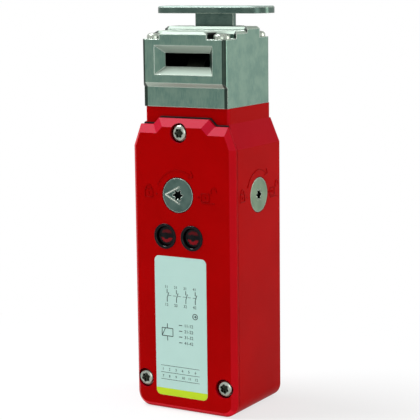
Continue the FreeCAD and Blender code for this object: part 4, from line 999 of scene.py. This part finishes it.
# %% Springs
def make_spring(name, node, joint, turns, wire=mm(1.0), per_turn=24):
    """A round-wire coil in the place of a CAD spring; it does not shorten as its joint moves."""
    low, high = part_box(node)
    centre = (low + high) / 2
    reach = (high.x - low.x - wire) / 2
    steps = turns * per_turn
    bm = bmesh.new()
    ring = bmesh.ops.create_circle(bm, segments=10, radius=wire / 2)["verts"]
    bmesh.ops.rotate(bm, verts=ring, cent=(0, 0, 0), matrix=Matrix.Rotation(math.pi / 2, 3, "X"))
    bmesh.ops.translate(bm, verts=ring, vec=(centre.x + reach, centre.y, low.z + wire / 2))
    bmesh.ops.spin(bm, geom=ring + list(bm.edges), cent=(centre.x, centre.y, 0), axis=(0, 0, 1),
                   dvec=(0, 0, (high.z - low.z - wire) / steps), angle=2 * math.pi * turns,
                   steps=steps, use_duplicate=False, use_merge=False)
    bmesh.ops.holes_fill(bm, edges=[edge for edge in bm.edges if edge.is_boundary])
    piece = make_piece(name, bm, [spring_steel])
    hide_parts(node)
    travel = max(next(each["range_m"] for each in frame["record"]["behaviour"]["joints"]
                      if each["name"] == joint))
    1 - travel / (high.z - low.z)
    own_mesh(piece)
    return piece


make_spring("drive_coil", "drive_spring", "drive_rod_travel", 6)
make_spring("lock_coil", "lock_spring", "armature_travel", 3)

# %% [markdown]
# ## Print on the label
# A rating plate of this kind carries a contact diagram with terminal numbers, the sign for
# forced opening (an arrow in a circle), the solenoid's sign and a field for the date. They are
# thin raised bars of ink. Numbers are text objects that are turned into meshes first, with
# few points on their curves, and then laid in place.

# %% Ink lines and numbers
label_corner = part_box("rating_label")[0]
ink_height = 0.03
ink_line = 0.31
ink_sunk = 0.02


def line(bm, place, start, end, width=ink_line):
    """Ink line between two points in millimetres."""
    bar(bm, place, start, end, width, ink_height, sunk=ink_sunk)


def words(bm, place, text, x, y, height):
    """Plain number with its left foot at x, y."""
    curve = bpy.data.curves.new("number", "FONT")
    curve.body = text
    curve.size = mm(height)
    curve.extrude = mm(ink_height)
    curve.resolution_u = 2
    lettering = bpy.data.objects.new("number", curve)
    bpy.context.scene.collection.objects.link(lettering)
    graph = bpy.context.evaluated_depsgraph_get()
    mesh = bpy.data.meshes.new_from_object(lettering.evaluated_get(graph))
    bit = bmesh.new()
    bit.from_mesh(mesh)
    bpy.data.objects.remove(lettering)
    bpy.data.curves.remove(curve)
    bpy.data.meshes.remove(mesh)
    add(bm, bit, place @ Matrix.Translation(mm(x, y, 0)))


def contact(bm, place, x, y, near, far):
    """Contact of the diagram: two terminals with numbers and a blade between them."""
    line(bm, place, (x, y - 0.2), (x, y + 1.5))
    line(bm, place, (x, y + 3.5), (x, y + 5.2))
    line(bm, place, (x, y + 1.5), (x + 0.8, y + 3.9))
    words(bm, place, near, x - 1.2, y + 5.7, 1.7)
    words(bm, place, far, x - 1.2, y - 2.0, 1.7)


print("label's corner at", [round(v * 1000, 2) for v in label_corner])

# %% [markdown]
# ## The label's layout
# The print has four blocks, each in millimetres from the label's lower left corner. From the
# top they are the contacts with their dashed link and the arrow sign, the coil sign, the list
# of contact pairs beside it, and the date field with its twelve months.

# %% Blocks of the print
def print_contacts(bm, place):
    for number, x in enumerate((6.0, 10.6, 15.2, 19.8), 1):
        contact(bm, place, x, 41.0, f"{number}1", f"{number}2")
    for start in (6.6, 9.0, 11.4, 13.8, 16.2, 18.6):
        line(bm, place, (start, 43.6), (start + 1.4, 43.6), 0.18)
    arc_strip(bm, place, (19.6, 35.6), 1.15, 0, 360, ink_height, ink_line, sunk=ink_sunk)
    for start, end in (((18.9, 35.6), (20.2, 35.6)), ((20.2, 35.6), (19.7, 36.1)),
                       ((20.2, 35.6), (19.7, 35.1))):
        line(bm, place, start, end)


def print_coil(bm, place):
    left, right, foot, top = 3.2, 8.6, 26.0, 29.4
    middle, lead = (left + right) / 2, 2.0
    for start, end in (((left, foot), (right, foot)), ((right, foot), (right, top)),
                       ((right, top), (left, top)), ((left, top), (left, foot)),
                       ((left, foot), (4.9, top)), ((middle, top), (middle, top + lead)),
                       ((middle, foot), (middle, foot - lead))):
        line(bm, place, start, end)


def print_pairs(bm, place, step=2.5):
    for row, numbers in enumerate(("11-12", "21-22", "31-32", "41-42")):
        words(bm, place, numbers, 14.2, 30.6 - step * row, 1.9)
        line(bm, place, (11.6, 31.2 - step * row), (13.2, 31.2 - step * row))


def print_months(bm, place, row_step=3.0, column_step=3.2):
    for row in range(3):
        height = 7.0 + row_step * row
        line(bm, place, (2.4, height), (21.4, height), 0.16)
    for column in range(6):
        words(bm, place, str(column + 1), 3.0 + column_step * column, 10.9, 1.6)
        words(bm, place, str(column + 7), 3.0 + column_step * column, 7.9, 1.6)


# %% [markdown]
# ## Printing it
# Ink is one thin layer on the film, so all four blocks go into one mesh and make one piece.

# %% Label print
label_bm = bmesh.new()
for block in (print_contacts, print_coil, print_pairs, print_months):
    block(label_bm, onto(label_corner, "front"))
make_piece("label_print", label_bm, [ink])

# %% [markdown]
# ## Thread of the conduit entry
# The CAD hole is plain. The real one is threaded, so a sleeve with ridges lines it: a zigzag
# profile is carried round the hole's axis. Ridges without pitch look the same from outside.

# %% Conduit thread
def make_conduit_thread(centre_y=1.0, bore=9.25, depth=8.0, pitch=1.5, ridge=0.7):
    """A threaded sleeve in the entry; its sizes are in millimetres and bore is a radius."""
    bm = bmesh.new()
    rings = [(bore - 0.02, 0.02, 0)]
    for turn in range(int((depth - 0.6) / pitch)):
        rings.append((bore - ridge, -(turn + 0.5) * pitch, 0))
        rings.append((bore - 0.1, -(turn + 1) * pitch, 0))
    rings.append((bore - 0.02, rings[-1][1] - 0.2, 0))
    stack(bm, onto(mm(0, centre_y, 0), "under"), rings, 64, hollow=True)
    return make_piece("conduit_thread", bm, [red_paint], smooth=20)


make_conduit_thread()

# %% [markdown]
# ## Camera
# The camera stands to the right of the front and a little above, with a long lens, so the
# upright edges stay nearly parallel. Its place is worked out from two angles and a distance.

# %% Camera
def make_camera(azimuth=30.53, height=9.06, roll=-0.67, target=(1.49, 0.0, 83.96),
                distance=621.06, lens=124.87):
    az, el, lean = (math.radians(angle) for angle in (azimuth, height, roll))
    back = Vector((math.sin(az) * math.cos(el), -math.cos(az) * math.cos(el), math.sin(el)))
    right = Vector((math.cos(az), math.sin(az), 0))
    up = back.cross(right)
    across = right * math.cos(lean) + up * math.sin(lean)
    above = up * math.cos(lean) - right * math.sin(lean)
    data = bpy.data.cameras.new("view")
    data.lens = lens
    data.sensor_width = 36
    data.clip_start = mm(20)
    camera = bpy.data.objects.new("view", data)
    turn = Matrix((across, above, back)).transposed().to_4x4()
    camera.matrix_world = Matrix.Translation(mm(*target) + back * mm(distance)) @ turn
    bpy.context.scene.collection.objects.link(camera)
    bpy.context.scene.camera = camera
    return camera


print("camera at", [round(v, 3) for v in make_camera().matrix_world.translation])

# %% [markdown]
# ## Light
# A soft lamp above and to the left lights the bevels that face up, and is seen in them. One to
# the right and behind gives the side its sheen, and a weak one in front keeps the face
# readable. All are wide, so that the shadows stay soft.

# %% Lamps
def make_lamp(name, place, aim, size, power, tint=(1, 1, 1)):
    data = bpy.data.lights.new(name, "AREA")
    data.shape = "RECTANGLE"
    data.size, data.size_y = size
    data.energy = power
    data.color = tint
    lamp = bpy.data.objects.new(name, data)
    place, aim = Vector(place), Vector(aim)
    lamp.matrix_world = (Matrix.Translation(place)
                         @ (aim - place).to_track_quat("-Z", "Y").to_matrix().to_4x4())
    bpy.context.scene.collection.objects.link(lamp)
    return lamp


middle = (0, 0, 0.09)
make_lamp("top_lamp", (-0.43, -0.15, 0.85), middle, (0.36, 0.36), 8.0, (0.95, 0.97, 1.0))
make_lamp("side_lamp", (0.75, 0.45, 0.25), middle, (0.4, 0.7), 3.7, (1.0, 0.985, 0.92))
make_lamp("front_lamp", (0.55, -0.85, 0.35), middle, (0.6, 0.6), 2.4)
print("lamps ready")

# %% [markdown]
# ## Floor
# The ground is a wide pale disc. To the camera, and in reflections, it fades to clean white
# away from the object. Near the object it stays a lit surface, so the soft shadow is kept. It
# lies a hair under the object, so that the two never share a plane.

# %% Floor
floor_radius = 14
floor_drop = mm(0.05)


def seen_directly(shade):
    """1 for the camera, in reflections and through glass, and 0 for light on the object."""
    camera, glossy, through = (shade.node("ShaderNodeLightPath", output=f"Is {ray} Ray")
                               for ray in ("Camera", "Glossy", "Transmission"))
    seen = camera + glossy + through
    return seen.math("MINIMUM", seen, 1.0)


def make_floor():
    bm = bmesh.new()
    bmesh.ops.create_circle(bm, cap_ends=True, segments=96, radius=floor_radius)
    bmesh.ops.translate(bm, vec=(0, 0, -floor_drop), verts=bm.verts)
    shade = Shade("floor_paper")
    here = shade.node("ShaderNodeTexCoord", output="Object")
    reach = shade.node("ShaderNodeVectorMath", {"operation": "LENGTH"}, {0: here}, output="Value")
    white = shade.node("ShaderNodeEmission", values={"Color": (1, 1, 1, 1), "Strength": 1.0})
    shade.finish(Base_Color=(0.86, 0.87, 0.87, 1), Roughness=0.9, Specular_IOR_Level=0.1)
    share = seen_directly(shade) * (0.68 + reach.ramp(0.04, 0.20) * 0.32)
    blend = shade.node("ShaderNodeMixShader", values={
        0: share, 1: Wire(shade, shade.surface.outputs[0]), 2: white})
    shade.feed(shade.tree.nodes["Material Output"].inputs["Surface"], blend)
    floor = as_object("floor", bm, shade.material)
    return floor


print("floor of", floor_radius, "m:", make_floor().name)

# %% [markdown]
# ## Sky
# The sky fills the shadows with an even grey. Where it is looked at directly it is plain white,
# by the same sum as the floor uses.

# %% Sky
def make_sky(level=0.36):
    world = bpy.data.worlds.new("sky")
    bpy.context.scene.world = world
    shade = Shade("sky", world)
    grey = shade.node("ShaderNodeBackground", values={"Color": (level, level, level, 1)})
    white = shade.node("ShaderNodeBackground", values={"Color": (1, 1, 1, 1)})
    blend = shade.node("ShaderNodeMixShader", values={0: seen_directly(shade), 1: grey, 2: white})
    shade.feed(shade.tree.nodes["World Output"].inputs["Surface"], blend)


make_sky()
bpy.context.scene.view_settings.view_transform = "Standard"
print("sky ready")
